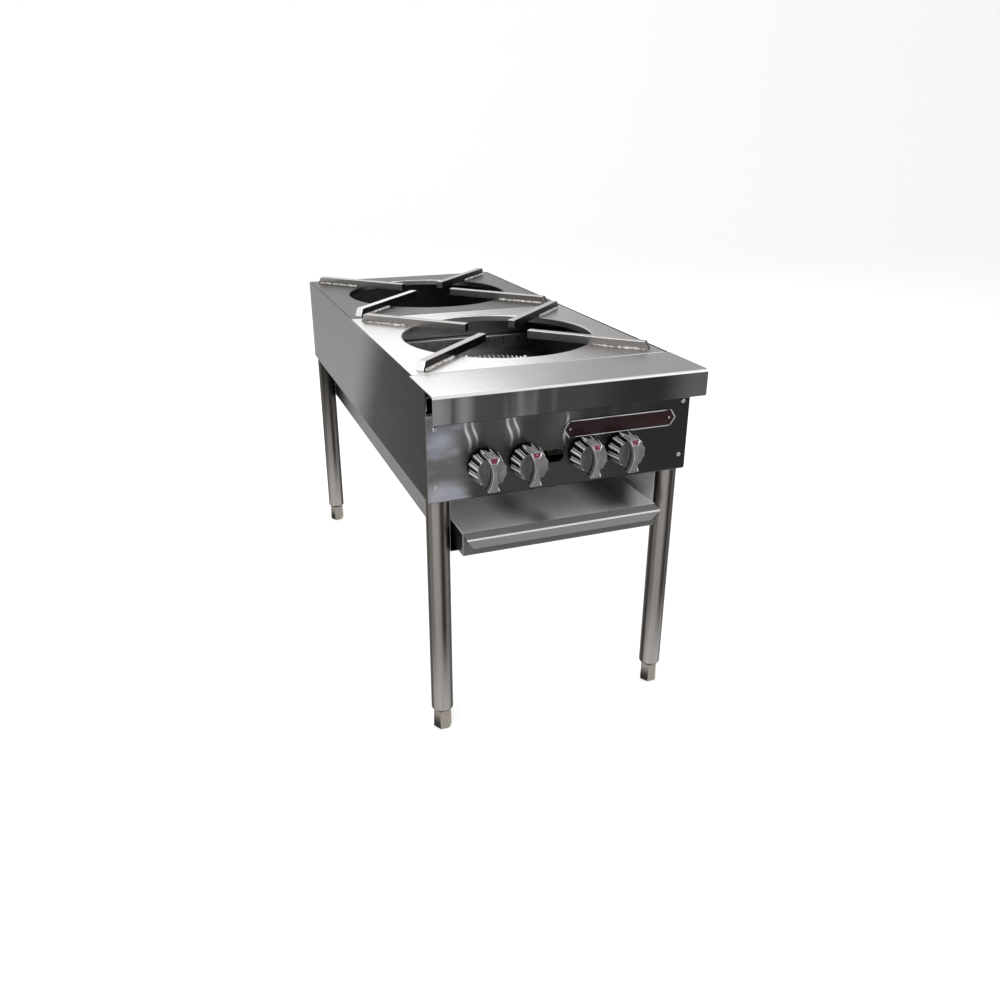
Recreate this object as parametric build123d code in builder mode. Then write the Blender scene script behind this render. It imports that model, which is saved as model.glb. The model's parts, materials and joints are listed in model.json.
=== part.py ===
"""A stock pot range: two open burners, one behind the other, in a folded steel body on four legs.

Millimetres. +X is to the right of a person at the knobs, +Y runs to the back and +Z is up.
The floor is at height 0 and the origin lies midway between the front and back ends.
"""

import os
from math import atan2, cos, degrees, hypot, radians, sin, sqrt

from build123d import *

os.makedirs("parts", exist_ok=True)

# Body shell
body_width = 457.2
body_depth = 990.6
body_height = 185.0
deck_height = 626.0
sheet = 1.5
fold_radius = 2.0
side_flange = 58.0
side_front_flange = 22.0
side_rear_flange = 18.0
joint_gap = 0.3

# Control panel and what is fixed to it
panel_height = 146.0
panel_return = 14.0
panel_return_clearance = 2.0
panel_screw_inset = 13.1
panel_screw_low = 27.0
panel_screw_high = 121.5
screw_head_radius = 4.0
screw_head_height = 2.2
screw_radius = 2.4
screw_length = 10.0
screw_clearance = 0.2
slot_left = -50.0
slot_right = 0.0
slot_height = 22.0
stem_hole_radius = 8.0

# Nameplate
plate_side_inset = 25.6
plate_rise = 96.0
plate_length = 206.0
plate_height = 30.0
plate_point = 10.0
plate_thickness = 3.0
plate_rim = 2.5
plate_inset_depth = 1.0
plate_stud_inset = 13.0
plate_stud_radius = 1.6
plate_stud_length = 6.0

# Front ledge
ledge_reach = 43.2
ledge_back = 82.0
ledge_drop = 44.5
ledge_return = 12.0
ledge_overhang = 1.6
ledge_bend = 5.0

# Top plates, their openings and the pot bars
deck_sheet = 3.0
seam_gap = 1.5
split_forward = 11.3
deck_skirt = 14.0
deck_edge_radius = 2.0
opening_radius = 175.0
collar_depth = 12.0
collar_bend = 2.8
bar_size = 14.3
bar_tip_inset = 22.0
bar_inner_radius = 62.0
bar_slope = 8.0
bar_edge_radius = 0.8
bead_size = 4.0
bead_end_gap = 6.0

# Rails and cross members in the body
rail_width = 26.0
rail_height = 22.0
rail_sheet = 2.5
rail_end_gap = 6.0
rail_clearance = 1.0
channel_width = 44.0
channel_height = 30.0
channel_sheet = 2.5
divider_clearance = 3.0
strip_to_split = 35.0
strip_drop = 32.0
strip_height = 26.0
strip_flange = 15.0
strip_slot_width = 4.0
strip_slot_length = 18.0
strip_slot_pitch = 34.0
strip_slot_count = 12
strip_slot_drop = 5.0
shield_distance = 92.0
shield_lift = 11.0
shield_return = 12.0
vent_width = 4.0
vent_length = 40.0
vent_pitch = 13.0
vent_count = 4
vent_inset = 46.6
vent_drop = 112.0
back_return = 12.0

# Legs and feet
leg_diameter = 38.1
leg_wall = 1.6
leg_inset_side = 21.6
leg_inset_front = 24.0
leg_inset_back = 21.6
leg_end_radius = 3.0
leg_cap = 5.0
leg_plug = 20.0
leg_plate_size = 50.0
leg_plate_thickness = 4.0
leg_bolt_radius = 5.0
leg_bolt_head_radius = 9.0
leg_bolt_head_height = 6.5
leg_bolt_length = 24.0
leg_bolt_clearance = 0.3
foot_height = 41.0
foot_neck = 3.0
foot_across_flats = 27.0
foot_base_across_flats = 28.5
foot_base_edge = 3.0
foot_stud_radius = 6.0
foot_stud_length = 45.0
foot_stud_clearance = 0.05

# Tray runners and drip tray
runner_height = 100.0
runner_flange = 20.0
runner_sheet = 1.5
runner_leg_gap = 0.3
tray_side_gap = 11.0
tray_lift = 0.3
tray_height = 41.0
tray_front = -5.0
tray_back_gap = 22.0
tray_lip_reach = 21.0
tray_lip_drop = 3.0
lip_fold = 1.0
tray_pull_back = 8.0
tray_pull_drop = 20.0
tray_pull_mitre = 14.0
tray_end_inset = 1.5
tray_corner = 3.0
stop_height = 30.0
stop_flange = 15.0
stop_inset = 4.0

# Gas pipework
manifold_radius = 13.35
manifold_bore = 10.5
manifold_distance = 42.0
manifold_drop = 30.0
manifold_overhang = 30.0
manifold_plug_radius = 17.0
manifold_plug_length = 16.0
supply_inset = 55.1
supply_bend = 24.0
inlet_stub = 25.0
inlet_clearance = 1.5
inlet_thread_radius = 13.1
inlet_thread_length = 19.0
rear_tube_radius = 6.35
rear_tube_bore = 4.9
rear_tube_bend = 12.0
rear_tube_inset = 35.1
rear_tube_turn = 74.0
rear_jet_distance = 36.0
tube_clearance = 1.5

# Valves, stems and knobs
valve_rise = 54.0
first_valve_x = -136.0
second_valve_x = -66.3
third_valve_x = 37.0
fourth_valve_x = 105.0
valve_front = 18.0
valve_back = 60.0
valve_radius = 11.0
valve_neck_radius = 7.0
valve_nose_radius = 7.5
valve_nose_length = 9.0
stem_radius = 4.0
stem_front = -28.0
stem_back = 34.0
stem_flat = 1.2
stem_fit = 0.05
jet_radius = 6.0
jet_length = 14.0
jet_bore = 1.2
knob_back_gap = 5.0
knob_skirt_radius = 29.0
knob_skirt_height = 5.0
knob_face_radius = 25.5
knob_face_height = 34.5
knob_dish_depth = 4.0
knob_flute_count = 12
knob_flute_radius = 8.0
knob_flute_depth = 2.0
grip_waist = 5.0
grip_end_width = 20.0
grip_height = 48.5
grip_top = 27.3
grip_bottom = 30.4
grip_peak = 4.0
grip_top_height = 43.0
grip_bottom_height = 44.0
grip_heel = 14.0

# Burners
outer_ring_radius = 108.0
outer_ring_width = 32.0
inner_ring_radius = 48.0
inner_ring_width = 28.0
ring_rise = 54.0
ring_height = 22.0
inner_ring_drop = 8.0
ring_wall = 4.0
ring_top_edge = 5.0
tip_count = 72
inner_tip_count = 32
tip_width = 4.4
tip_depth = 6.0
tip_height = 12.0
tip_lean = 35.0
mixer_radius = 12.0
mixer_bore = 8.5
mixer_mouth_radius = 20.0
mixer_mouth_length = 20.0
mixer_gap = 10.0
mixer_bend = 20.0
shutter_radius = 24.0
shutter_thickness = 1.5
shutter_hole_radius = 5.0
shutter_hole_distance = 14.5
shutter_hole_count = 4
shutter_gap = 1.0
burner_bar_width = 18.0
burner_bar_thickness = 4.0
burner_bar_reach = 10.0
burner_pad_radius = 9.0
inner_pad_radius = 5.0
inner_pad_reach = 6.5
inner_pad_height = 4.0
cap_nut_reach = 9.0
cap_nut_count = 6
cap_nut_turn = 41.0
cap_nut_radius = 4.5
cap_nut_height = 14.0

# Pilots
rear_pilot_x = -34.0
front_pilot_x = -14.0
pilot_valve_front = 20.0
pilot_valve_back = 54.0
pilot_valve_radius = 5.5
pilot_neck_radius = 4.0
pilot_screw_slot = 1.2
pilot_tube_radius = 3.2
pilot_tube_bore = 2.4
pilot_tube_bend = 10.0
pilot_tip_gap = 16.0
pilot_tip_radius = 5.0
pilot_tip_height = 16.0
pilot_tip_rise = 7.0

# Places worked out from the sizes above
half_width = body_width / 2
front_reach = max(ledge_reach, grip_height)
face_y = -(body_depth + inlet_stub - front_reach) / 2
body_bottom = deck_height - body_height
body_back = face_y + body_depth
side_front = face_y + sheet + joint_gap
inside_x = half_width - sheet
panel_top = body_bottom + panel_height
rail_top = deck_height - deck_skirt
plate_split = (ledge_back + body_depth) / 2 - split_forward
front_centre_y = face_y + (ledge_back + plate_split) / 2
rear_centre_y = face_y + (plate_split + body_depth) / 2
ledge_width = body_width + 2 * ledge_overhang
plate_centre_x = half_width - plate_side_inset - plate_length / 2
plate_centre_height = body_bottom + plate_rise
plate_stud_reach = plate_length / 2 - plate_stud_inset
leg_x = half_width - leg_inset_side
leg_front_y = face_y + leg_inset_front
leg_back_y = body_back - leg_inset_back
leg_bottom = foot_height
leg_spots = ((-leg_x, leg_front_y), (leg_x, leg_front_y), (-leg_x, leg_back_y), (leg_x, leg_back_y))
runner_face = leg_x - leg_diameter / 2 - runner_leg_gap
runner_bottom = body_bottom - runner_height
tray_half = runner_face - runner_sheet - tray_side_gap
tray_bottom = runner_bottom + runner_sheet + tray_lift
valve_height = body_bottom + valve_rise
valve_xs = (first_valve_x, second_valve_x, third_valve_x, fourth_valve_x)
mixer_xs = (second_valve_x, third_valve_x)
slot_centre_height = valve_height
manifold_height = valve_height - manifold_drop
manifold_y = face_y + manifold_distance
manifold_left = first_valve_x - manifold_overhang
supply_x = inside_x - supply_inset
rear_tube_x = inside_x - rear_tube_inset
ring_top_height = valve_height + ring_rise
inner_ring_top = ring_top_height - inner_ring_drop
burner_bar_top = inner_ring_top - ring_height - inner_pad_height
burner_bar_offset = inner_ring_radius + burner_bar_reach
inner_pad_offset = inner_ring_radius + inner_pad_reach
cap_nut_circle = outer_ring_radius + cap_nut_reach
pilot_xs = (rear_pilot_x, front_pilot_x)
pilot_height = slot_centre_height
pilot_tip_circle = inner_ring_radius + inner_ring_width / 2 + pilot_tip_gap
pilot_tip_top = ring_top_height + pilot_tip_rise
strip_top_height = rail_top - strip_drop
shield_bottom_height = body_bottom + shield_lift
vent_group_x = half_width - vent_inset
vent_centre_height = deck_height - vent_drop


def block(x0, x1, y0, y1, z0, z1, mode=Mode.ADD):
    """Add or cut a box that fills the space between the given coordinates."""
    with Locations(((x0 + x1) / 2, (y0 + y1) / 2, (z0 + z1) / 2)):
        Box(x1 - x0, y1 - y0, z1 - z0, mode=mode)


def hole_along_y(x, y, z, radius, length, mode=Mode.SUBTRACT):
    """Cut, or add, a round bar whose axis runs front to back."""
    with Locations((x, y, z)):
        Cylinder(radius, length, rotation=(90, 0, 0), mode=mode)


def folded_strip(points, thickness, radii):
    """The face of a sheet folded along its outer line; the sheet lies to the left of the line.

    The radii are the inner radii of the folds, in the order of the points.
    """
    count = len(points)
    steps = []
    for start, end in zip(points, points[1:]):
        length = hypot(end[0] - start[0], end[1] - start[1])
        steps.append(((end[0] - start[0]) / length, (end[1] - start[1]) / length))
    inner = []
    for index, point in enumerate(points):
        before = steps[max(index - 1, 0)]
        after = steps[min(index, count - 2)]
        normal = (-(before[1] + after[1]), before[0] + after[0])
        reach = thickness * 2 / (normal[0] ** 2 + normal[1] ** 2)
        inner.append((point[0] + normal[0] * reach, point[1] + normal[1] * reach))
    face = Face(Wire.make_polygon([(*p, 0) for p in points + inner[::-1]]))
    for index in range(1, count - 1):
        before = steps[index - 1]
        after = steps[index]
        left_turn = before[0] * after[1] - before[1] * after[0] > 0
        hollow = inner[index] if left_turn else points[index]
        round_side = points[index] if left_turn else inner[index]
        radius = radii[index - 1]
        for corner, bend in ((hollow, radius), (round_side, radius + thickness)):
            vertex = face.vertices().sort_by_distance((*corner, 0))[0]
            face = face.fillet_2d(bend, [vertex])
    return face


def bent_tube(points, bend, radius, bore):
    """A tube whose centre line runs through the points with rounded corners."""
    with BuildPart() as tube:
        with BuildLine() as path:
            FilletPolyline(*points, radius=bend)
        with BuildSketch(Plane(origin=path.line @ 0, z_dir=path.line % 0)):
            Circle(radius)
            Circle(bore, mode=Mode.SUBTRACT)
        sweep(path=path.wire())
    return tube.part


# Body shell


def side_panel(side):
    """A side of the body: upright sheet with folded front, bottom and back edges."""
    outer = side * half_width
    turned = [
        (outer, deck_height),
        (outer, body_bottom),
        (outer - side * side_flange, body_bottom),
    ]
    if side > 0:
        turned = turned[::-1]
    with BuildPart() as panel:
        with BuildSketch(Plane.XZ.offset(-body_back)):
            add(folded_strip(turned, sheet, (fold_radius,)))
        extrude(amount=body_back - side_front)
        inner = outer - side * sheet
        for depth, height, near in (
            (side_front_flange, panel_top, side_front),
            (side_rear_flange, deck_height - deck_skirt - rail_height, body_back - sheet),
        ):
            edge = inner - side * depth
            block(min(edge, inner), max(edge, inner), near, near + sheet, body_bottom, height)
        block(
            min(outer, inner) - sheet,
            max(outer, inner) + sheet,
            side_front - sheet,
            face_y + ledge_back + joint_gap,
            deck_height - sheet,
            deck_height + sheet,
            mode=Mode.SUBTRACT,
        )
        for height in (panel_screw_low, panel_screw_high):
            hole_along_y(
                side * (half_width - panel_screw_inset),
                side_front,
                body_bottom + height,
                screw_radius,
                4 * sheet,
            )
        for y in (leg_front_y, leg_back_y):
            with Locations((side * leg_x, y, body_bottom)):
                Cylinder(leg_bolt_radius + leg_bolt_clearance, 6 * sheet, mode=Mode.SUBTRACT)
    return panel.part


with BuildPart() as left_side_panel:
    add(side_panel(-1))
left_side_panel.part.label = "left_side_panel"
export_step(left_side_panel.part, "parts/left_side_panel.step")

with BuildPart() as right_side_panel:
    add(side_panel(1))
right_side_panel.part.label = "right_side_panel"
export_step(right_side_panel.part, "parts/right_side_panel.step")

with BuildPart() as back_panel:
    back_half = inside_x - joint_gap
    back_face = body_back - sheet - joint_gap
    with BuildSketch(Plane.YZ.offset(-back_half)):
        add(
            folded_strip(
                [
                    (back_face - back_return, rail_top),
                    (back_face, rail_top),
                    (back_face, body_bottom + sheet + joint_gap),
                    (back_face - back_return, body_bottom + sheet + joint_gap),
                ][::-1],
                sheet,
                (fold_radius, fold_radius),
            )
        )
    extrude(amount=2 * back_half)
    for side in (-1, 1):
        with Locations((side * back_half, back_face - back_return, deck_height - deck_skirt)):
            Box(
                2 * (rail_width + rail_clearance),
                2 * back_return,
                2 * (rail_height + rail_clearance),
                mode=Mode.SUBTRACT,
            )
        with Locations((side * back_half, back_face, body_bottom)):
            Box(
                2 * (side_flange + joint_gap),
                2 * (back_return + sheet) + 2 * fold_radius,
                2 * (leg_plate_thickness + sheet + leg_bolt_head_height),
                mode=Mode.SUBTRACT,
            )
    with BuildSketch(Plane.XZ.offset(-body_back)):
        with Locations((-vent_group_x, vent_centre_height), (vent_group_x, vent_centre_height)):
            with GridLocations(vent_pitch, 1, vent_count, 1):
                SlotOverall(vent_length, vent_width, rotation=90)
    extrude(amount=back_return, mode=Mode.SUBTRACT)
    hole_along_y(supply_x, back_face, manifold_height, manifold_radius + inlet_clearance, back_return)
back_panel.part.label = "back_panel"
export_step(back_panel.part, "parts/back_panel.step")

with BuildPart() as control_panel:
    with BuildSketch(Plane.YZ.offset(-half_width)):
        add(
            folded_strip(
                [
                    (face_y + panel_return, panel_top),
                    (face_y, panel_top),
                    (face_y, body_bottom),
                    (face_y + panel_return, body_bottom),
                ],
                sheet,
                (fold_radius, fold_radius),
            )
        )
    extrude(amount=body_width)
    for side in (-1, 1):
        reach = side_flange + panel_return_clearance
        edge = side * (half_width - reach / 2)
        block(
            edge - reach / 2 - joint_gap,
            edge + reach / 2 + joint_gap,
            face_y + sheet,
            face_y + 2 * panel_return,
            body_bottom - sheet,
            panel_top + sheet,
            mode=Mode.SUBTRACT,
        )
        for height in (panel_screw_low, panel_screw_high):
            hole_along_y(
                side * (half_width - panel_screw_inset),
                face_y,
                body_bottom + height,
                screw_radius + screw_clearance,
                4 * sheet,
            )
        hole_along_y(
            plate_centre_x + side * plate_stud_reach,
            face_y,
            plate_centre_height,
            plate_stud_radius,
            4 * sheet,
        )
    for x in valve_xs:
        hole_along_y(x, face_y, valve_height, stem_hole_radius, 4 * sheet)
    with BuildSketch(Plane.XZ.offset(-face_y - 2 * sheet)):
        with Locations(((slot_left + slot_right) / 2, slot_centre_height)):
            SlotOverall(slot_right - slot_left, slot_height)
    extrude(amount=4 * sheet, mode=Mode.SUBTRACT)
control_panel.part.label = "control_panel"
export_step(control_panel.part, "parts/control_panel.step")

with BuildPart() as panel_screws:
    for side in (-1, 1):
        for height in (panel_screw_low, panel_screw_high):
            spot = Location(
                (side * (half_width - panel_screw_inset), face_y, body_bottom + height), (90, 0, 0)
            )
            with Locations(spot):
                Cylinder(
                    screw_radius, screw_length, align=(Align.CENTER, Align.CENTER, Align.MAX)
                )
                Cone(
                    screw_head_radius,
                    screw_head_radius / 2,
                    screw_head_height,
                    align=(Align.CENTER, Align.CENTER, Align.MIN),
                )
panel_screws.part.label = "panel_screws"
export_step(panel_screws.part, "parts/panel_screws.step")

with BuildPart() as nameplate:
    straight = plate_length / 2 - plate_point
    rim_straight = straight - plate_rim / 2
    outline = [
        (-plate_length / 2, 0),
        (-straight, plate_height / 2),
        (straight, plate_height / 2),
        (plate_length / 2, 0),
        (straight, -plate_height / 2),
        (-straight, -plate_height / 2),
    ]
    inset = [
        (-plate_length / 2 + 2 * plate_rim, 0),
        (-rim_straight, plate_height / 2 - plate_rim),
        (rim_straight, plate_height / 2 - plate_rim),
        (plate_length / 2 - 2 * plate_rim, 0),
        (rim_straight, -plate_height / 2 + plate_rim),
        (-rim_straight, -plate_height / 2 + plate_rim),
    ]
    with BuildSketch(Plane.XZ.offset(-face_y)):
        with Locations((plate_centre_x, plate_centre_height)):
            Polygon(*outline, align=None)
    extrude(amount=plate_thickness)
    with BuildSketch(Plane.XZ.offset(-face_y + plate_thickness)):
        with Locations((plate_centre_x, plate_centre_height)):
            Polygon(*inset, align=None)
    extrude(amount=-plate_inset_depth, mode=Mode.SUBTRACT)
    for side in (-1, 1):
        hole_along_y(
            plate_centre_x + side * plate_stud_reach,
            face_y + plate_stud_length / 2,
            plate_centre_height,
            plate_stud_radius,
            plate_stud_length,
            mode=Mode.ADD,
        )
nameplate.part.label = "nameplate"
export_step(nameplate.part, "parts/nameplate.step")

with BuildPart() as front_ledge:
    ledge_rear = face_y + ledge_back
    ledge_front = face_y - ledge_reach
    with BuildSketch(Plane.YZ.offset(-ledge_width / 2)):
        add(
            folded_strip(
                [
                    (ledge_rear, rail_top),
                    (ledge_rear, deck_height),
                    (ledge_front, deck_height),
                    (ledge_front, deck_height - ledge_drop),
                    (ledge_front + ledge_return, deck_height - ledge_drop),
                ],
                sheet,
                (fold_radius, ledge_bend, fold_radius),
            )
        )
    extrude(amount=ledge_width)
    for side in (-1, 1):
        near = inside_x - joint_gap
        edge = side * (near + ledge_width / 2) / 2
        block(
            edge - (ledge_width / 2 - near) / 2 - joint_gap,
            edge + (ledge_width / 2 - near) / 2 + joint_gap,
            ledge_rear - 2 * sheet - fold_radius,
            ledge_rear + sheet,
            rail_top - sheet,
            deck_height - sheet,
            mode=Mode.SUBTRACT,
        )
front_ledge.part.label = "front_ledge"
export_step(front_ledge.part, "parts/front_ledge.step")


def top_plate(front, back, centre_y):
    """A drop-in top plate: skirt on four sides and a turned-down collar round the opening."""
    half = inside_x - seam_gap
    with BuildPart() as plate:
        block(-half, half, front, back, rail_top, deck_height)
        block(
            -half + deck_sheet,
            half - deck_sheet,
            front + deck_sheet,
            back - deck_sheet,
            rail_top - deck_sheet,
            deck_height - deck_sheet,
            mode=Mode.SUBTRACT,
        )
        with BuildSketch(Plane.XY.offset(deck_height - collar_depth)):
            with Locations((0, centre_y)):
                Circle(opening_radius + deck_sheet)
        extrude(amount=collar_depth)
        with BuildSketch(Plane.XY.offset(rail_top - deck_sheet)):
            with Locations((0, centre_y)):
                Circle(opening_radius)
        extrude(amount=deck_skirt + 2 * deck_sheet, mode=Mode.SUBTRACT)
        top_edges = plate.edges().filter_by_position(Axis.Z, deck_height, deck_height)
        fillet(top_edges.filter_by(GeomType.CIRCLE), collar_bend)
        outer_edges = plate.edges().filter_by_position(Axis.Z, deck_height, deck_height)
        fillet(outer_edges.filter_by(GeomType.LINE), deck_edge_radius)
    return plate.part


front_plate_front = face_y + ledge_back + seam_gap
front_plate_back = face_y + plate_split - seam_gap / 2
rear_plate_front = face_y + plate_split + seam_gap / 2
rear_plate_back = body_back - sheet - seam_gap

with BuildPart() as front_top_plate:
    add(top_plate(front_plate_front, front_plate_back, front_centre_y))
front_top_plate.part.label = "front_top_plate"
export_step(front_top_plate.part, "parts/front_top_plate.step")

with BuildPart() as rear_top_plate:
    add(top_plate(rear_plate_front, rear_plate_back, rear_centre_y))
rear_top_plate.part.label = "rear_top_plate"
export_step(rear_top_plate.part, "parts/rear_top_plate.step")


def bar_layout(front, back, centre_y):
    """For each of a plate's four pot bars: its angle and its tip's distance from the centre."""
    layout = []
    tip_x = half_width - bar_tip_inset
    for side in (-1, 1):
        for tip_y in (front + bar_tip_inset, back - bar_tip_inset):
            reach = hypot(tip_x, tip_y - centre_y)
            layout.append((degrees(atan2(tip_y - centre_y, side * tip_x)), reach))
    return layout


def pot_bars(front, back, centre_y):
    """Four square bars on the deck that point at the opening's centre, their tips cut on a slope."""
    with BuildPart() as bars:
        for angle, reach in bar_layout(front, back, centre_y):
            upright = Plane(
                origin=(0, centre_y, deck_height),
                x_dir=(cos(radians(angle)), sin(radians(angle)), 0),
                z_dir=(sin(radians(angle)), -cos(radians(angle)), 0),
            )
            with BuildSketch(upright):
                Polygon(
                    (bar_inner_radius, 0),
                    (reach, 0),
                    (reach - bar_slope, bar_size),
                    (bar_inner_radius, bar_size),
                    align=None,
                )
            extrude(amount=bar_size / 2, both=True)
        raised = [edge for edge in bars.edges() if edge.center().Z > deck_height + bar_edge_radius]
        fillet(raised, bar_edge_radius)
    return bars.part


def weld_beads(front, back, centre_y):
    """Three-sided beads along both feet of each bar, where the bar lies over the deck."""
    with BuildPart() as beads:
        for angle, reach in bar_layout(front, back, centre_y):
            start = opening_radius + deck_sheet + bead_end_gap
            for turn in (-1, 1):
                across = Plane(
                    origin=(
                        start * cos(radians(angle)),
                        centre_y + start * sin(radians(angle)),
                        deck_height,
                    ),
                    x_dir=(-turn * sin(radians(angle)), turn * cos(radians(angle)), 0),
                    z_dir=(turn * cos(radians(angle)), turn * sin(radians(angle)), 0),
                )
                with BuildSketch(across):
                    Polygon(
                        (bar_size / 2, 0),
                        (bar_size / 2 + bead_size, 0),
                        (bar_size / 2, bead_size),
                        align=None,
                    )
                extrude(amount=turn * (reach - start - bead_end_gap))
    return beads.part


with BuildPart() as front_pot_bars:
    add(pot_bars(face_y + ledge_back, face_y + plate_split, front_centre_y))
front_pot_bars.part.label = "front_pot_bars"
export_step(front_pot_bars.part, "parts/front_pot_bars.step")

with BuildPart() as rear_pot_bars:
    add(pot_bars(face_y + plate_split, body_back, rear_centre_y))
rear_pot_bars.part.label = "rear_pot_bars"
export_step(rear_pot_bars.part, "parts/rear_pot_bars.step")

with BuildPart() as front_weld_beads:
    add(weld_beads(face_y + ledge_back, face_y + plate_split, front_centre_y))
front_weld_beads.part.label = "front_weld_beads"
export_step(front_weld_beads.part, "parts/front_weld_beads.step")

with BuildPart() as rear_weld_beads:
    add(weld_beads(face_y + plate_split, body_back, rear_centre_y))
rear_weld_beads.part.label = "rear_weld_beads"
export_step(rear_weld_beads.part, "parts/rear_weld_beads.step")

# Rails and cross members inside the body


def deck_rail(side):
    """An angle along the inside of a side panel that carries the top plates."""
    outer = side * inside_x
    turned = [
        (outer - side * rail_width, rail_top),
        (outer, rail_top),
        (outer, rail_top - rail_height),
    ]
    if side > 0:
        turned = turned[::-1]
    with BuildPart() as rail:
        with BuildSketch(Plane.XZ.offset(-(body_back - rail_end_gap))):
            add(folded_strip(turned, rail_sheet, (fold_radius,)))
        extrude(amount=body_back - side_front - 2 * rail_end_gap)
    return rail.part


with BuildPart() as left_deck_rail:
    add(deck_rail(-1))
left_deck_rail.part.label = "left_deck_rail"
export_step(left_deck_rail.part, "parts/left_deck_rail.step")

with BuildPart() as right_deck_rail:
    add(deck_rail(1))
right_deck_rail.part.label = "right_deck_rail"
export_step(right_deck_rail.part, "parts/right_deck_rail.step")

with BuildPart() as cross_channel:
    channel_half = inside_x - rail_width
    split_y = face_y + plate_split
    with BuildSketch(Plane.YZ.offset(-channel_half)):
        add(
            folded_strip(
                [
                    (split_y + channel_width / 2, rail_top - channel_height),
                    (split_y + channel_width / 2, rail_top),
                    (split_y - channel_width / 2, rail_top),
                    (split_y - channel_width / 2, rail_top - channel_height),
                ],
                channel_sheet,
                (fold_radius, fold_radius),
            )
        )
    extrude(amount=2 * channel_half)
cross_channel.part.label = "cross_channel"
export_step(cross_channel.part, "parts/cross_channel.step")

divider_y = split_y - sheet / 2
with BuildPart() as divider_panel:
    divider_half = inside_x - joint_gap
    divider_top = rail_top - channel_sheet
    divider_bottom = body_bottom + sheet + fold_radius
    block(-divider_half, divider_half, divider_y, divider_y + sheet, divider_bottom, divider_top)
    for side in (-1, 1):
        with Locations((side * divider_half, divider_y, rail_top)):
            Box(
                2 * (rail_width + divider_clearance),
                4 * sheet,
                2 * (rail_height + divider_clearance),
                mode=Mode.SUBTRACT,
            )
        hole_along_y(
            side * rear_tube_x, divider_y, valve_height, rear_tube_radius + tube_clearance, 4 * sheet
        )
    hole_along_y(
        supply_x, divider_y, manifold_height, manifold_radius + tube_clearance, 4 * sheet
    )
    hole_along_y(
        pilot_xs[0], divider_y, pilot_height, pilot_tube_radius + tube_clearance, 4 * sheet
    )
divider_panel.part.label = "divider_panel"
export_step(divider_panel.part, "parts/divider_panel.step")

with BuildPart() as slotted_strip:
    strip_y = split_y - strip_to_split
    with BuildSketch(Plane.YZ.offset(-divider_half)):
        add(
            folded_strip(
                [
                    (strip_y + strip_flange, strip_top_height),
                    (strip_y, strip_top_height),
                    (strip_y, strip_top_height - strip_height),
                ],
                sheet,
                (fold_radius,),
            )
        )
    extrude(amount=2 * divider_half)
    with BuildSketch(Plane.XZ.offset(-strip_y + sheet)):
        with Locations((0, strip_top_height - strip_slot_drop - strip_slot_length / 2)):
            with GridLocations(strip_slot_pitch, 1, strip_slot_count, 1):
                SlotOverall(strip_slot_length, strip_slot_width, rotation=90)
    extrude(amount=-3 * sheet, mode=Mode.SUBTRACT)
slotted_strip.part.label = "slotted_strip"
export_step(slotted_strip.part, "parts/slotted_strip.step")

with BuildPart() as heat_shield:
    shield_y = face_y + shield_distance
    shield_half = inside_x - joint_gap
    with BuildSketch(Plane.YZ.offset(-shield_half)):
        add(
            folded_strip(
                [
                    (shield_y, shield_bottom_height),
                    (shield_y, rail_top - joint_gap),
                    (shield_y - shield_return, rail_top - joint_gap),
                ],
                sheet,
                (fold_radius,),
            )
        )
    extrude(amount=2 * shield_half)
    for side in (-1, 1):
        with Locations((side * shield_half, shield_y, rail_top)):
            Box(
                2 * (rail_width + divider_clearance),
                2 * (shield_return + sheet),
                2 * (rail_height + divider_clearance),
                mode=Mode.SUBTRACT,
            )
        hole_along_y(
            side * rear_tube_x, shield_y, valve_height, rear_tube_radius + tube_clearance, 6 * sheet
        )
    for x in mixer_xs:
        hole_along_y(x, shield_y, valve_height, mixer_mouth_radius + tube_clearance, 6 * sheet)
    hole_along_y(supply_x, shield_y, manifold_height, manifold_radius + tube_clearance, 6 * sheet)
    for x in pilot_xs:
        hole_along_y(x, shield_y, pilot_height, pilot_tube_radius + tube_clearance, 6 * sheet)
heat_shield.part.label = "heat_shield"
export_step(heat_shield.part, "parts/heat_shield.step")

# Legs and feet

with BuildPart() as leg_plates:
    corner_x = inside_x - fold_radius - leg_plate_size / 2
    corner_ys = (
        side_front + sheet + fold_radius + leg_plate_size / 2,
        body_back - 2 * sheet - fold_radius - leg_plate_size / 2,
    )
    for side in (-1, 1):
        for y, leg_y in zip(corner_ys, (leg_front_y, leg_back_y)):
            with Locations((side * corner_x, y, body_bottom + sheet)):
                Box(
                    leg_plate_size,
                    leg_plate_size,
                    leg_plate_thickness,
                    align=(Align.CENTER, Align.CENTER, Align.MIN),
                )
            with Locations((side * leg_x, leg_y, body_bottom + sheet)):
                Cylinder(
                    leg_bolt_radius + leg_bolt_clearance,
                    4 * leg_plate_thickness,
                    mode=Mode.SUBTRACT,
                )
leg_plates.part.label = "leg_plates"
export_step(leg_plates.part, "parts/leg_plates.step")

with BuildPart() as leg_bolts:
    bolt_seat = body_bottom + sheet + leg_plate_thickness
    with BuildSketch(Plane.XY.offset(bolt_seat)):
        with Locations(*leg_spots):
            RegularPolygon(leg_bolt_head_radius, 6)
    extrude(amount=leg_bolt_head_height)
    with BuildSketch(Plane.XY.offset(bolt_seat)):
        with Locations(*leg_spots):
            Circle(leg_bolt_radius)
    extrude(amount=-leg_bolt_length)
leg_bolts.part.label = "leg_bolts"
export_step(leg_bolts.part, "parts/leg_bolts.step")


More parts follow.
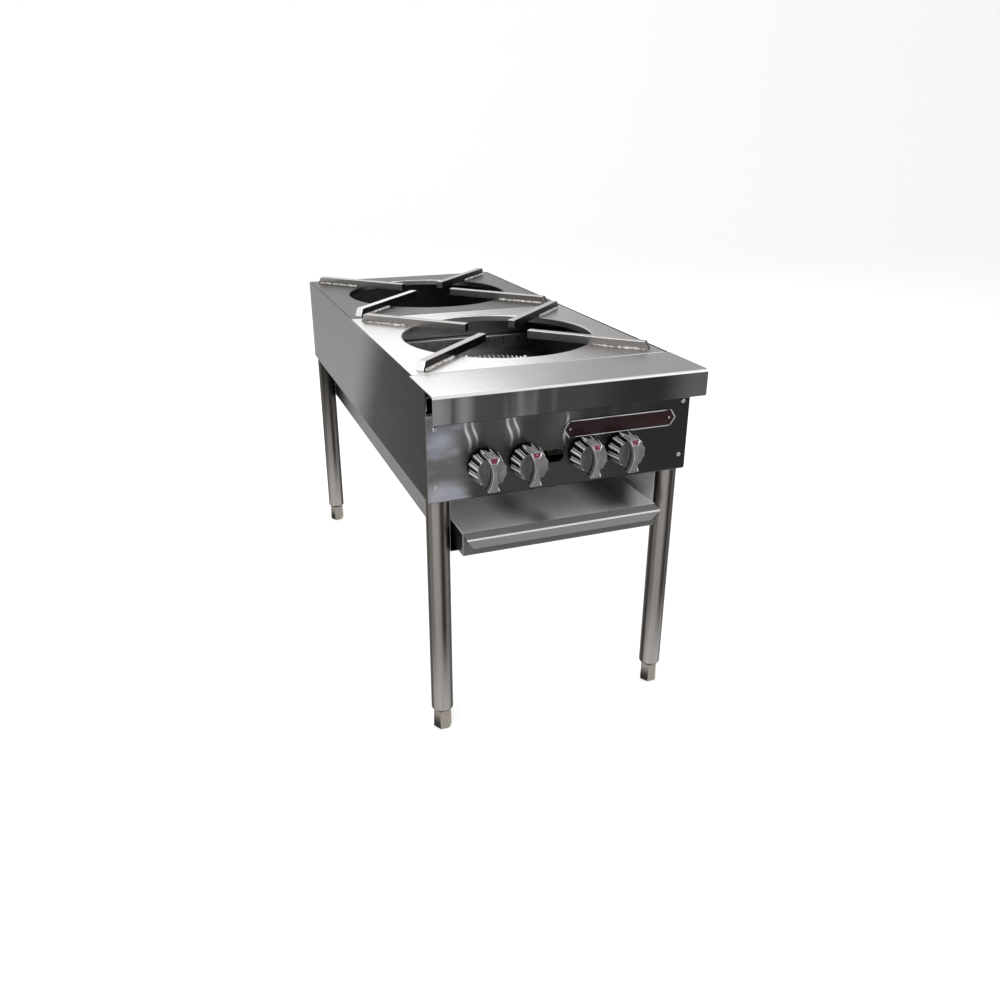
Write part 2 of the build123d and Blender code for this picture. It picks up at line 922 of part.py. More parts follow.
def leg(x, y):
    """A round tube leg with a bored cap at the top and a bored plug for the foot at the bottom."""
    radius = leg_diameter / 2
    with BuildPart() as tube:
        with Locations((x, y, leg_bottom)):
            Cylinder(
                radius,
                body_bottom - leg_bottom,
                align=(Align.CENTER, Align.CENTER, Align.MIN),
            )
        fillet(tube.edges().sort_by(Axis.Z)[0], leg_end_radius)
        with Locations((x, y, leg_bottom + leg_plug)):
            Cylinder(
                radius - leg_wall,
                body_bottom - leg_cap - leg_bottom - leg_plug,
                align=(Align.CENTER, Align.CENTER, Align.MIN),
                mode=Mode.SUBTRACT,
            )
        with Locations((x, y, body_bottom)):
            Cylinder(leg_bolt_radius + leg_bolt_clearance, 4 * leg_cap, mode=Mode.SUBTRACT)
        with Locations((x, y, leg_bottom)):
            Cylinder(foot_stud_radius + foot_stud_clearance, 4 * leg_plug, mode=Mode.SUBTRACT)
    return tube.part


def foot(x, y):
    """A six-sided screw foot that widens a little to its rounded base, with its stud."""
    with BuildPart() as screw_foot:
        with BuildSketch(Plane.XY):
            with Locations((x, y)):
                RegularPolygon(foot_base_across_flats / 2, 6, major_radius=False)
        with BuildSketch(Plane.XY.offset(foot_height - foot_neck)):
            with Locations((x, y)):
                RegularPolygon(foot_across_flats / 2, 6, major_radius=False)
        loft()
        chamfer(screw_foot.faces().sort_by(Axis.Z)[0].edges(), foot_base_edge)
        with Locations((x, y, foot_height - foot_neck)):
            Cylinder(
                foot_stud_radius,
                foot_stud_length,
                align=(Align.CENTER, Align.CENTER, Align.MIN),
            )
    return screw_foot.part


leg_names = ("front_left", "front_right", "rear_left", "rear_right")
for name, (x, y) in zip(leg_names, leg_spots):
    with BuildPart() as one_leg:
        add(leg(x, y))
    one_leg.part.label = f"{name}_leg"
    export_step(one_leg.part, f"parts/{name}_leg.step")

for name, (x, y) in zip(leg_names, leg_spots):
    with BuildPart() as one_foot:
        add(foot(x, y))
    one_foot.part.label = f"{name}_foot"
    export_step(one_foot.part, f"parts/{name}_foot.step")

# Tray runners and drip tray


def tray_runner(side):
    """A tall plate between a front and a back leg, with a flange below that carries the tray."""
    outer = side * runner_face
    turned = [
        (outer - side * runner_flange, body_bottom - joint_gap),
        (outer, body_bottom - joint_gap),
        (outer, runner_bottom),
        (outer - side * runner_flange, runner_bottom),
    ]
    if side > 0:
        turned = turned[::-1]
    with BuildPart() as runner:
        with BuildSketch(Plane.XZ.offset(-leg_back_y)):
            add(folded_strip(turned, runner_sheet, (fold_radius, fold_radius)))
        extrude(amount=leg_back_y - leg_front_y)
    return runner.part


with BuildPart() as left_tray_runner:
    add(tray_runner(-1))
left_tray_runner.part.label = "left_tray_runner"
export_step(left_tray_runner.part, "parts/left_tray_runner.step")

with BuildPart() as right_tray_runner:
    add(tray_runner(1))
right_tray_runner.part.label = "right_tray_runner"
export_step(right_tray_runner.part, "parts/right_tray_runner.step")

with BuildPart() as tray_stop:
    stop_half = runner_face - runner_sheet - fold_radius
    stop_y = leg_back_y - stop_inset
    with BuildSketch(Plane.YZ.offset(-stop_half)):
        add(
            folded_strip(
                [
                    (stop_y, runner_bottom + runner_sheet + stop_height),
                    (stop_y, runner_bottom + runner_sheet),
                    (stop_y + stop_flange, runner_bottom + runner_sheet),
                ],
                runner_sheet,
                (fold_radius,),
            )
        )
    extrude(amount=2 * stop_half)
tray_stop.part.label = "tray_stop"
export_step(tray_stop.part, "parts/tray_stop.step")

with BuildPart() as drip_tray:
    tray_front_y = face_y + tray_front
    tray_back_y = leg_back_y - stop_inset - tray_back_gap
    tray_top = tray_bottom + tray_height
    block(-tray_half, tray_half, tray_front_y, tray_back_y, tray_bottom, tray_top)
    fillet(drip_tray.edges().filter_by(Axis.Z), tray_corner)
    fillet(drip_tray.faces().sort_by(Axis.Z)[0].edges(), tray_corner)
    with BuildSketch(Plane.XY.offset(tray_bottom + sheet)):
        with Locations((0, (tray_front_y + tray_back_y) / 2)):
            RectangleRounded(
                2 * (tray_half - sheet), tray_back_y - tray_front_y - 2 * sheet, tray_corner - sheet
            )
    extrude(amount=tray_height, mode=Mode.SUBTRACT)
    ridge_half = tray_half - tray_end_inset
    ridge_y = tray_front_y - tray_lip_reach
    pull_bottom = tray_top - tray_lip_drop - tray_pull_drop
    with BuildSketch(Plane.YZ.offset(-ridge_half)):
        add(
            folded_strip(
                [
                    (tray_front_y + sheet, tray_top),
                    (tray_front_y, tray_top),
                    (ridge_y, tray_top - tray_lip_drop),
                    (ridge_y + tray_pull_back, pull_bottom),
                ],
                sheet,
                (lip_fold, lip_fold),
            )
        )
    extrude(amount=2 * ridge_half)
    for side in (-1, 1):
        with BuildSketch(Plane.XZ.offset(-tray_front_y + sheet)):
            Polygon(
                (side * ridge_half, tray_top - tray_lip_drop - sheet),
                (side * (ridge_half + sheet), tray_top - tray_lip_drop - sheet),
                (side * (ridge_half + sheet), tray_bottom),
                (side * (ridge_half - tray_pull_mitre), tray_bottom),
                (side * (ridge_half - tray_pull_mitre), pull_bottom - sheet),
                align=None,
            )
        extrude(amount=2 * tray_lip_reach, mode=Mode.SUBTRACT)
drip_tray.part.label = "drip_tray"
export_step(drip_tray.part, "parts/drip_tray.step")

# Gas pipework

with BuildPart() as gas_manifold:
    add(
        bent_tube(
            [
                (manifold_left, manifold_y, manifold_height),
                (supply_x, manifold_y, manifold_height),
                (supply_x, body_back + inlet_stub, manifold_height),
            ],
            supply_bend,
            manifold_radius,
            manifold_bore,
        )
    )
    with BuildSketch(Plane.XZ.offset(-body_back - inlet_stub)):
        with Locations((supply_x, manifold_height)):
            Circle(2 * manifold_radius)
            Circle(inlet_thread_radius, mode=Mode.SUBTRACT)
    extrude(amount=inlet_thread_length, mode=Mode.SUBTRACT)
gas_manifold.part.label = "gas_manifold"
export_step(gas_manifold.part, "parts/gas_manifold.step")

with BuildPart() as manifold_plug:
    with Locations(Location((manifold_left, manifold_y, manifold_height), (0, -90, 0))):
        Cylinder(
            manifold_plug_radius,
            manifold_plug_length,
            align=(Align.CENTER, Align.CENTER, Align.CENTER),
        )
        Cylinder(
            manifold_radius,
            manifold_plug_length,
            align=(Align.CENTER, Align.CENTER, Align.MAX),
            mode=Mode.SUBTRACT,
        )
manifold_plug.part.label = "manifold_plug"
export_step(manifold_plug.part, "parts/manifold_plug.step")

for number, x in enumerate(valve_xs, 1):
    with BuildPart() as valve:
        middle = face_y + (valve_front + valve_back) / 2
        hole_along_y(x, middle, valve_height, valve_radius, valve_back - valve_front, Mode.ADD)
        with Locations((x, manifold_y, valve_height)):
            Cylinder(
                valve_neck_radius,
                manifold_drop - manifold_radius / 2,
                align=(Align.CENTER, Align.CENTER, Align.MAX),
            )
        with Locations((x, manifold_y, manifold_height)):
            Cylinder(
                manifold_radius, 4 * valve_neck_radius, rotation=(0, 90, 0), mode=Mode.SUBTRACT
            )
        hole_along_y(
            x,
            face_y + valve_front - valve_nose_length / 2,
            valve_height,
            valve_nose_radius,
            valve_nose_length,
            Mode.ADD,
        )
        bore_back = stem_back + stem_fit
        bore_front = valve_front - valve_nose_length
        hole_along_y(
            x,
            face_y + (bore_back + bore_front) / 2,
            valve_height,
            stem_radius + stem_fit,
            bore_back - bore_front,
        )
    valve.part.label = f"valve_{number}"
    export_step(valve.part, f"parts/valve_{number}.step")

for number, x in enumerate(valve_xs, 1):
    with BuildPart() as stem:
        hole_along_y(
            x,
            face_y + (stem_front + stem_back) / 2,
            valve_height,
            stem_radius,
            stem_back - stem_front,
            Mode.ADD,
        )
        block(
            x - 2 * stem_radius,
            x + 2 * stem_radius,
            face_y + stem_front - stem_radius,
            face_y - knob_back_gap,
            valve_height + stem_radius - stem_flat,
            valve_height + 2 * stem_radius,
            mode=Mode.SUBTRACT,
        )
    stem.part.label = f"stem_{number}"
    export_step(stem.part, f"parts/stem_{number}.step")

with BuildPart() as grip_form:
    with BuildSketch():
        with BuildLine():
            end = grip_end_width / 2
            top_corner = sqrt(grip_top**2 - end**2)
            bottom_corner = -sqrt(grip_bottom**2 - end**2)
            ThreePointArc((-end, top_corner), (0, grip_top), (end, top_corner))
            ThreePointArc((end, top_corner), (grip_waist / 2, 0), (end, bottom_corner))
            ThreePointArc((end, bottom_corner), (0, -grip_bottom), (-end, bottom_corner))
            ThreePointArc((-end, bottom_corner), (-grip_waist / 2, 0), (-end, top_corner))
        make_face()
    extrude(amount=grip_height)
    with BuildSketch(Plane.YZ):
        with BuildLine():
            ThreePointArc(
                (-grip_bottom, grip_bottom_height),
                (-grip_peak, grip_height),
                (grip_top, grip_top_height),
            )
            Polyline(
                (grip_top, grip_top_height),
                (grip_top, grip_heel),
                (-knob_face_radius, grip_heel),
                (-grip_bottom, grip_bottom_height),
            )
        make_face()
    extrude(amount=grip_end_width, both=True, mode=Mode.INTERSECT)

with BuildPart() as knob_form:
    with BuildSketch(Plane.XZ):
        with BuildLine():
            skirt_front = knob_back_gap + knob_skirt_height
            Polyline(
                (0, knob_back_gap),
                (knob_skirt_radius, knob_back_gap),
                (knob_skirt_radius, skirt_front),
                (knob_face_radius, knob_face_height),
            )
            ThreePointArc(
                (knob_face_radius, knob_face_height),
                (knob_face_radius / sqrt(2), knob_face_height - knob_dish_depth / 2),
                (0, knob_face_height - knob_dish_depth),
            )
            Line((0, knob_face_height - knob_dish_depth), (0, knob_back_gap))
        make_face()
    revolve(axis=Axis.Z)
    taper = degrees(atan2(knob_skirt_radius - knob_face_radius, knob_face_height - skirt_front))
    with Locations((0, 0, skirt_front)):
        with PolarLocations(
            knob_skirt_radius + knob_flute_radius - knob_flute_depth, knob_flute_count
        ):
            Cylinder(
                knob_flute_radius, 2 * grip_height, rotation=(0, -taper, 0), mode=Mode.SUBTRACT
            )
    add(grip_form.part)
    with BuildSketch(Plane.XY):
        Circle(stem_radius)
    extrude(amount=-stem_front, mode=Mode.SUBTRACT)
    block(
        -stem_radius,
        stem_radius,
        stem_radius - stem_flat,
        stem_radius,
        knob_back_gap,
        -stem_front,
    )
knob_shape = knob_form.part

for number, x in enumerate(valve_xs, 1):
    with BuildPart() as knob:
        with Locations(Location((x, face_y, valve_height), (90, 0, 0))):
            add(knob_shape)
    knob.part.label = f"knob_{number}"
    export_step(knob.part, f"parts/knob_{number}.step")

# Burners

front_jet_y = face_y + valve_back
rear_jet_y = face_y + plate_split + rear_jet_distance
jet_spots = [(x, y) for x in mixer_xs for y in (front_jet_y, rear_jet_y)]
mouth_setback = jet_length + mixer_gap


def ring_section(radius, width, top):
    """The outline of a gas ring, with bevelled top edges."""
    Polygon(
        (radius - width / 2, top - ring_height),
        (radius + width / 2, top - ring_height),
        (radius + width / 2, top - ring_top_edge),
        (radius + width / 2 - ring_top_edge, top),
        (radius - width / 2 + ring_top_edge, top),
        (radius - width / 2, top - ring_top_edge),
        align=None,
    )


def ring_burner(centre_y, radius, width, top, mixer_x, front_y, pads, pad_radius):
    """A hollow gas ring with its mixer tube, which runs forward and opens in a flared mouth."""
    entry_y = centre_y - sqrt(radius**2 - mixer_x**2)
    path = [
        (mixer_x, front_y, valve_height),
        (mixer_x, entry_y, valve_height),
        (mixer_x, entry_y, top - ring_height / 2),
    ]
    with BuildPart() as burner:
        with BuildSketch(Plane.XZ.offset(-centre_y)):
            ring_section(radius, width, top)
        revolve(axis=Axis((0, centre_y, 0), (0, 0, 1)))
        with BuildLine() as line:
            FilletPolyline(*path, radius=mixer_bend)
        with BuildSketch(Plane(origin=path[0], z_dir=(0, 1, 0))):
            Circle(mixer_radius)
        sweep(path=line.wire())
        with Locations(Location((mixer_x, front_y, valve_height), (-90, 0, 0))):
            Cone(
                mixer_mouth_radius,
                mixer_radius,
                mixer_mouth_length,
                align=(Align.CENTER, Align.CENTER, Align.MIN),
            )
        for x, y in pads:
            with Locations((x, y, burner_bar_top)):
                Cylinder(
                    pad_radius,
                    top - ring_height / 2 - burner_bar_top,
                    align=(Align.CENTER, Align.CENTER, Align.MIN),
                )
        with BuildSketch(Plane.XZ.offset(-centre_y)):
            with Locations((radius, top - ring_height / 2)):
                Rectangle(width - 2 * ring_wall, ring_height - 2 * ring_wall)
        revolve(axis=Axis((0, centre_y, 0), (0, 0, 1)), mode=Mode.SUBTRACT)
        with BuildLine() as bore_line:
            FilletPolyline(*path, radius=mixer_bend)
        with BuildSketch(Plane(origin=path[0], z_dir=(0, 1, 0))):
            Circle(mixer_bore)
        sweep(path=bore_line.wire(), mode=Mode.SUBTRACT)
    return burner.part


def slanted_tips(centre_y, rings):
    """Short gas tips on the rings' tops, each leaning along its ring."""
    with BuildPart() as tips:
        for radius, count, top in rings:
            with Locations((0, centre_y, top)):
                with PolarLocations(radius, count):
                    Box(tip_depth, tip_width, 2 * tip_height, rotation=(-tip_lean, 0, 0))
                Cylinder(
                    radius + 2 * outer_ring_width,
                    2 * tip_height,
                    align=(Align.CENTER, Align.CENTER, Align.MAX),
                    mode=Mode.SUBTRACT,
                )
    return tips.part


def ring_pads(centre_y, radius):
    """Where a ring stands on the two burner bars: two spots on each bar."""
    across = sqrt(radius**2 - burner_bar_offset**2)
    return [
        (side * across, centre_y + turn * burner_bar_offset) for side in (-1, 1) for turn in (-1, 1)
    ]


burner_places = (("front", front_centre_y, front_jet_y), ("rear", rear_centre_y, rear_jet_y))
for name, centre_y, jet_y in burner_places:
    with BuildPart() as outer_burner:
        add(
            ring_burner(
                centre_y,
                outer_ring_radius,
                outer_ring_width,
                ring_top_height,
                mixer_xs[0],
                jet_y + mouth_setback,
                ring_pads(centre_y, outer_ring_radius),
                burner_pad_radius,
            )
        )
    outer_burner.part.label = f"{name}_outer_burner"
    export_step(outer_burner.part, f"parts/{name}_outer_burner.step")

    with BuildPart() as inner_burner:
        add(
            ring_burner(
                centre_y,
                inner_ring_radius,
                inner_ring_width,
                inner_ring_top,
                mixer_xs[1],
                jet_y + mouth_setback,
                [(0, centre_y + turn * inner_pad_offset) for turn in (-1, 1)],
                inner_pad_radius,
            )
        )
    inner_burner.part.label = f"{name}_inner_burner"
    export_step(inner_burner.part, f"parts/{name}_inner_burner.step")

    with BuildPart() as burner_tips:
        add(
            slanted_tips(
                centre_y,
                (
                    (outer_ring_radius, tip_count, ring_top_height),
                    (inner_ring_radius, inner_tip_count, inner_ring_top),
                ),
            )
        )
    burner_tips.part.label = f"{name}_burner_tips"
    export_step(burner_tips.part, f"parts/{name}_burner_tips.step")

with BuildPart() as burner_cap_nuts:
    for centre_y in (front_centre_y, rear_centre_y):
        with Locations((0, centre_y, ring_top_height)):
            with PolarLocations(cap_nut_circle, cap_nut_count, start_angle=cap_nut_turn):
                Cylinder(
                    cap_nut_radius,
                    cap_nut_height - cap_nut_radius,
                    align=(Align.CENTER, Align.CENTER, Align.MIN),
                )
        with Locations((0, centre_y, ring_top_height + cap_nut_height - cap_nut_radius)):
            with PolarLocations(cap_nut_circle, cap_nut_count, start_angle=cap_nut_turn):
                Sphere(cap_nut_radius, arc_size1=0)
burner_cap_nuts.part.label = "burner_cap_nuts"
export_step(burner_cap_nuts.part, "parts/burner_cap_nuts.step")

with BuildPart() as burner_bars:
    for centre_y in (front_centre_y, rear_centre_y):
        for turn in (-1, 1):
            middle = centre_y + turn * burner_bar_offset
            block(
                -inside_x,
                inside_x,
                middle - burner_bar_width / 2,
                middle + burner_bar_width / 2,
                burner_bar_top - burner_bar_thickness,
                burner_bar_top,
            )
burner_bars.part.label = "burner_bars"
export_step(burner_bars.part, "parts/burner_bars.step")

with BuildPart() as rear_gas_tubes:
    turn_y = face_y + rear_tube_turn
    rear_turn_y = rear_jet_y - (rear_tube_turn - valve_back)
    for side, valve_x, jet_x in ((-1, valve_xs[0], mixer_xs[0]), (1, valve_xs[3], mixer_xs[1])):
        add(
            bent_tube(
                [
                    (valve_x, front_jet_y, valve_height),
                    (valve_x, turn_y, valve_height),
                    (side * rear_tube_x, turn_y, valve_height),
                    (side * rear_tube_x, rear_turn_y, valve_height),
                    (jet_x, rear_turn_y, valve_height),
                    (jet_x, rear_jet_y, valve_height),
                ],
                rear_tube_bend,
                rear_tube_radius,
                rear_tube_bore,
            )
        )
rear_gas_tubes.part.label = "rear_gas_tubes"
export_step(rear_gas_tubes.part, "parts/rear_gas_tubes.step")

with BuildPart() as gas_jets:
    for x, y in jet_spots:
        hole_along_y(x, y + jet_length / 2, valve_height, jet_radius, jet_length, Mode.ADD)
        hole_along_y(x, y + jet_length, valve_height, jet_bore, jet_length)
gas_jets.part.label = "gas_jets"
export_step(gas_jets.part, "parts/gas_jets.step")

with BuildPart() as air_shutters:
    for x, y in jet_spots:
        with Locations(Location((x, y + mouth_setback, valve_height), (90, 0, 0))):
            Cylinder(
                shutter_radius, shutter_thickness, align=(Align.CENTER, Align.CENTER, Align.MIN)
            )
            Cylinder(jet_radius + shutter_gap, 4 * shutter_thickness, mode=Mode.SUBTRACT)
            with PolarLocations(shutter_hole_distance, shutter_hole_count):
                Cylinder(shutter_hole_radius, 4 * shutter_thickness, mode=Mode.SUBTRACT)
air_shutters.part.label = "air_shutters"
export_step(air_shutters.part, "parts/air_shutters.step")

# Pilots

with BuildPart() as pilot_valves:
    for x in pilot_xs:
        length = pilot_valve_back - pilot_valve_front
        middle = face_y + pilot_valve_front + length / 2
        hole_along_y(x, middle, pilot_height, pilot_valve_radius, length, Mode.ADD)
        with Locations((x, manifold_y, pilot_height)):
            Cylinder(
                pilot_neck_radius,
                pilot_height - manifold_height - manifold_radius / 2,
                align=(Align.CENTER, Align.CENTER, Align.MAX),
            )
        with Locations((x, manifold_y, manifold_height)):
            Cylinder(
                manifold_radius, 4 * pilot_neck_radius, rotation=(0, 90, 0), mode=Mode.SUBTRACT
            )
        with Locations((x, face_y + pilot_valve_front, pilot_height)):
            Box(
                2 * pilot_valve_radius,
                2 * pilot_screw_slot,
                pilot_screw_slot,
                mode=Mode.SUBTRACT,
            )
pilot_valves.part.label = "pilot_valves"
export_step(pilot_valves.part, "parts/pilot_valves.step")

with BuildPart() as pilot_tubes:
    for x, centre_y in zip(pilot_xs, (rear_centre_y, front_centre_y)):
        tip_y = centre_y - sqrt(pilot_tip_circle**2 - x**2)
        add(
            bent_tube(
                [
                    (x, face_y + pilot_valve_back, pilot_height),
                    (x, tip_y, pilot_height),
                    (x, tip_y, pilot_tip_top - pilot_tip_height),
                ],
                pilot_tube_bend,
                pilot_tube_radius,
                pilot_tube_bore,
            )
        )
        with Locations((x, tip_y, pilot_tip_top)):
            Cylinder(
                pilot_tip_radius,
                pilot_tip_height,
                align=(Align.CENTER, Align.CENTER, Align.MAX),
            )
            Cylinder(pilot_tube_bore, 4 * pilot_tip_height, mode=Mode.SUBTRACT)
pilot_tubes.part.label = "pilot_tubes"
export_step(pilot_tubes.part, "parts/pilot_tubes.step")
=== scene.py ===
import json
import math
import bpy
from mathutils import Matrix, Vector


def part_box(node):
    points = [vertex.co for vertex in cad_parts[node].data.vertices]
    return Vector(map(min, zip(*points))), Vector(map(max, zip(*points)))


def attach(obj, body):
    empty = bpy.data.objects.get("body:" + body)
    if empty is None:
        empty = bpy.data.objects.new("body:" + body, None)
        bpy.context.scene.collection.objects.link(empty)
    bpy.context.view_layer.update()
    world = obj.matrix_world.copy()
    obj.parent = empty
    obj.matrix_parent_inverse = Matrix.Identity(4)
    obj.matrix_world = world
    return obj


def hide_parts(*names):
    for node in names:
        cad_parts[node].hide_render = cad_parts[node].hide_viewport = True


bl_info = {
    "name": "Stock Pot Range",
    "version": (1, 0, 0),
    "blender": (4, 5, 0),
    "location": "3D View > Sidebar > Range",
    "description": "Dresses a stock pot range in steel, chrome, brass and cast iron",
    "category": "Object",
}

import bpy
import numpy as np
from bpy.props import FloatProperty, FloatVectorProperty, IntProperty, PointerProperty
from mathutils import Matrix, Vector

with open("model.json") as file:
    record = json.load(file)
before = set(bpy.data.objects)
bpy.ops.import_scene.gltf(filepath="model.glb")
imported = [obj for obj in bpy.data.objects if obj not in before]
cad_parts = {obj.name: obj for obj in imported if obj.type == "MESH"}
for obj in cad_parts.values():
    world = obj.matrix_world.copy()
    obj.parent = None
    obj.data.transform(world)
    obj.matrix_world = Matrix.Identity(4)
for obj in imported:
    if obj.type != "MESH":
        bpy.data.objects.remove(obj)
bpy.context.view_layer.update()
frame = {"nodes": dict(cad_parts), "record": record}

# Places read from the frame, in metres
FACE_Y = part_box("control_panel")[0].y
BODY_LOW, BODY_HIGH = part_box("left_side_panel")
BODY_HALF = -BODY_LOW.x
BODY_BACK = BODY_HIGH.y
DECK_Z = BODY_HIGH.z
PLATE_SPLIT = (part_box("front_top_plate")[1].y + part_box("rear_top_plate")[0].y) / 2
LEDGE_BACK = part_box("front_ledge")[1].y
BAR_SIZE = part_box("front_pot_bars")[1].z - DECK_Z

# Places on the CAD pieces that their boxes don't tell, in metres
BAR_INSET = 0.022  # a bar's tip from the plate's edges
WELD_START = 0.184  # a weld's near end from the middle of the opening
WELD_END_GAP = 0.006  # a weld's far end from the bar's tip
PLATE_POINT = 0.010  # length of the nameplate's pointed ends
STUD_X = 0.090  # the nameplate's studs from its middle

# Mesh steps on the knobs
FLUTE_POINTS = 16  # points round one flute
GRIP_WALL_STEPS = 5  # rings up the grip's wall

# Directions
RIGHT, LEFT = (1, 0, 0), (-1, 0, 0)
BACK, FRONT = (0, 1, 0), (0, -1, 0)
UP, DOWN = (0, 0, 1), (0, 0, -1)

# Grain by its direction: noise is squeezed across it and drawn out along it
STEEL_GRAIN_X = (3.0, 260.0, 260.0)
STEEL_GRAIN_Y = (260.0, 3.0, 260.0)
STEEL_GRAIN_Z = (260.0, 260.0, 3.0)


def middle_of(name):
    """The middle of a CAD piece's box."""
    return np.mean(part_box(name), axis=0)


def mount_place(name):
    """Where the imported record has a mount."""
    return next(mount["pos_m"] for mount in frame["record"]["mounts"] if mount["name"] == name)


def colour(name, text, value):
    """A colour a user may change."""
    return FloatVectorProperty(
        name=name, description=text, default=value, subtype="COLOR", size=3, min=0, max=1
    )


def length(name, text, value):
    """A size in metres a user may change."""
    return FloatProperty(
        name=name, description=text, default=value, subtype="DISTANCE", unit="LENGTH"
    )


def count(name, text, value):
    """A number of like things a user may change."""
    return IntProperty(name=name, description=text, default=value, min=1)


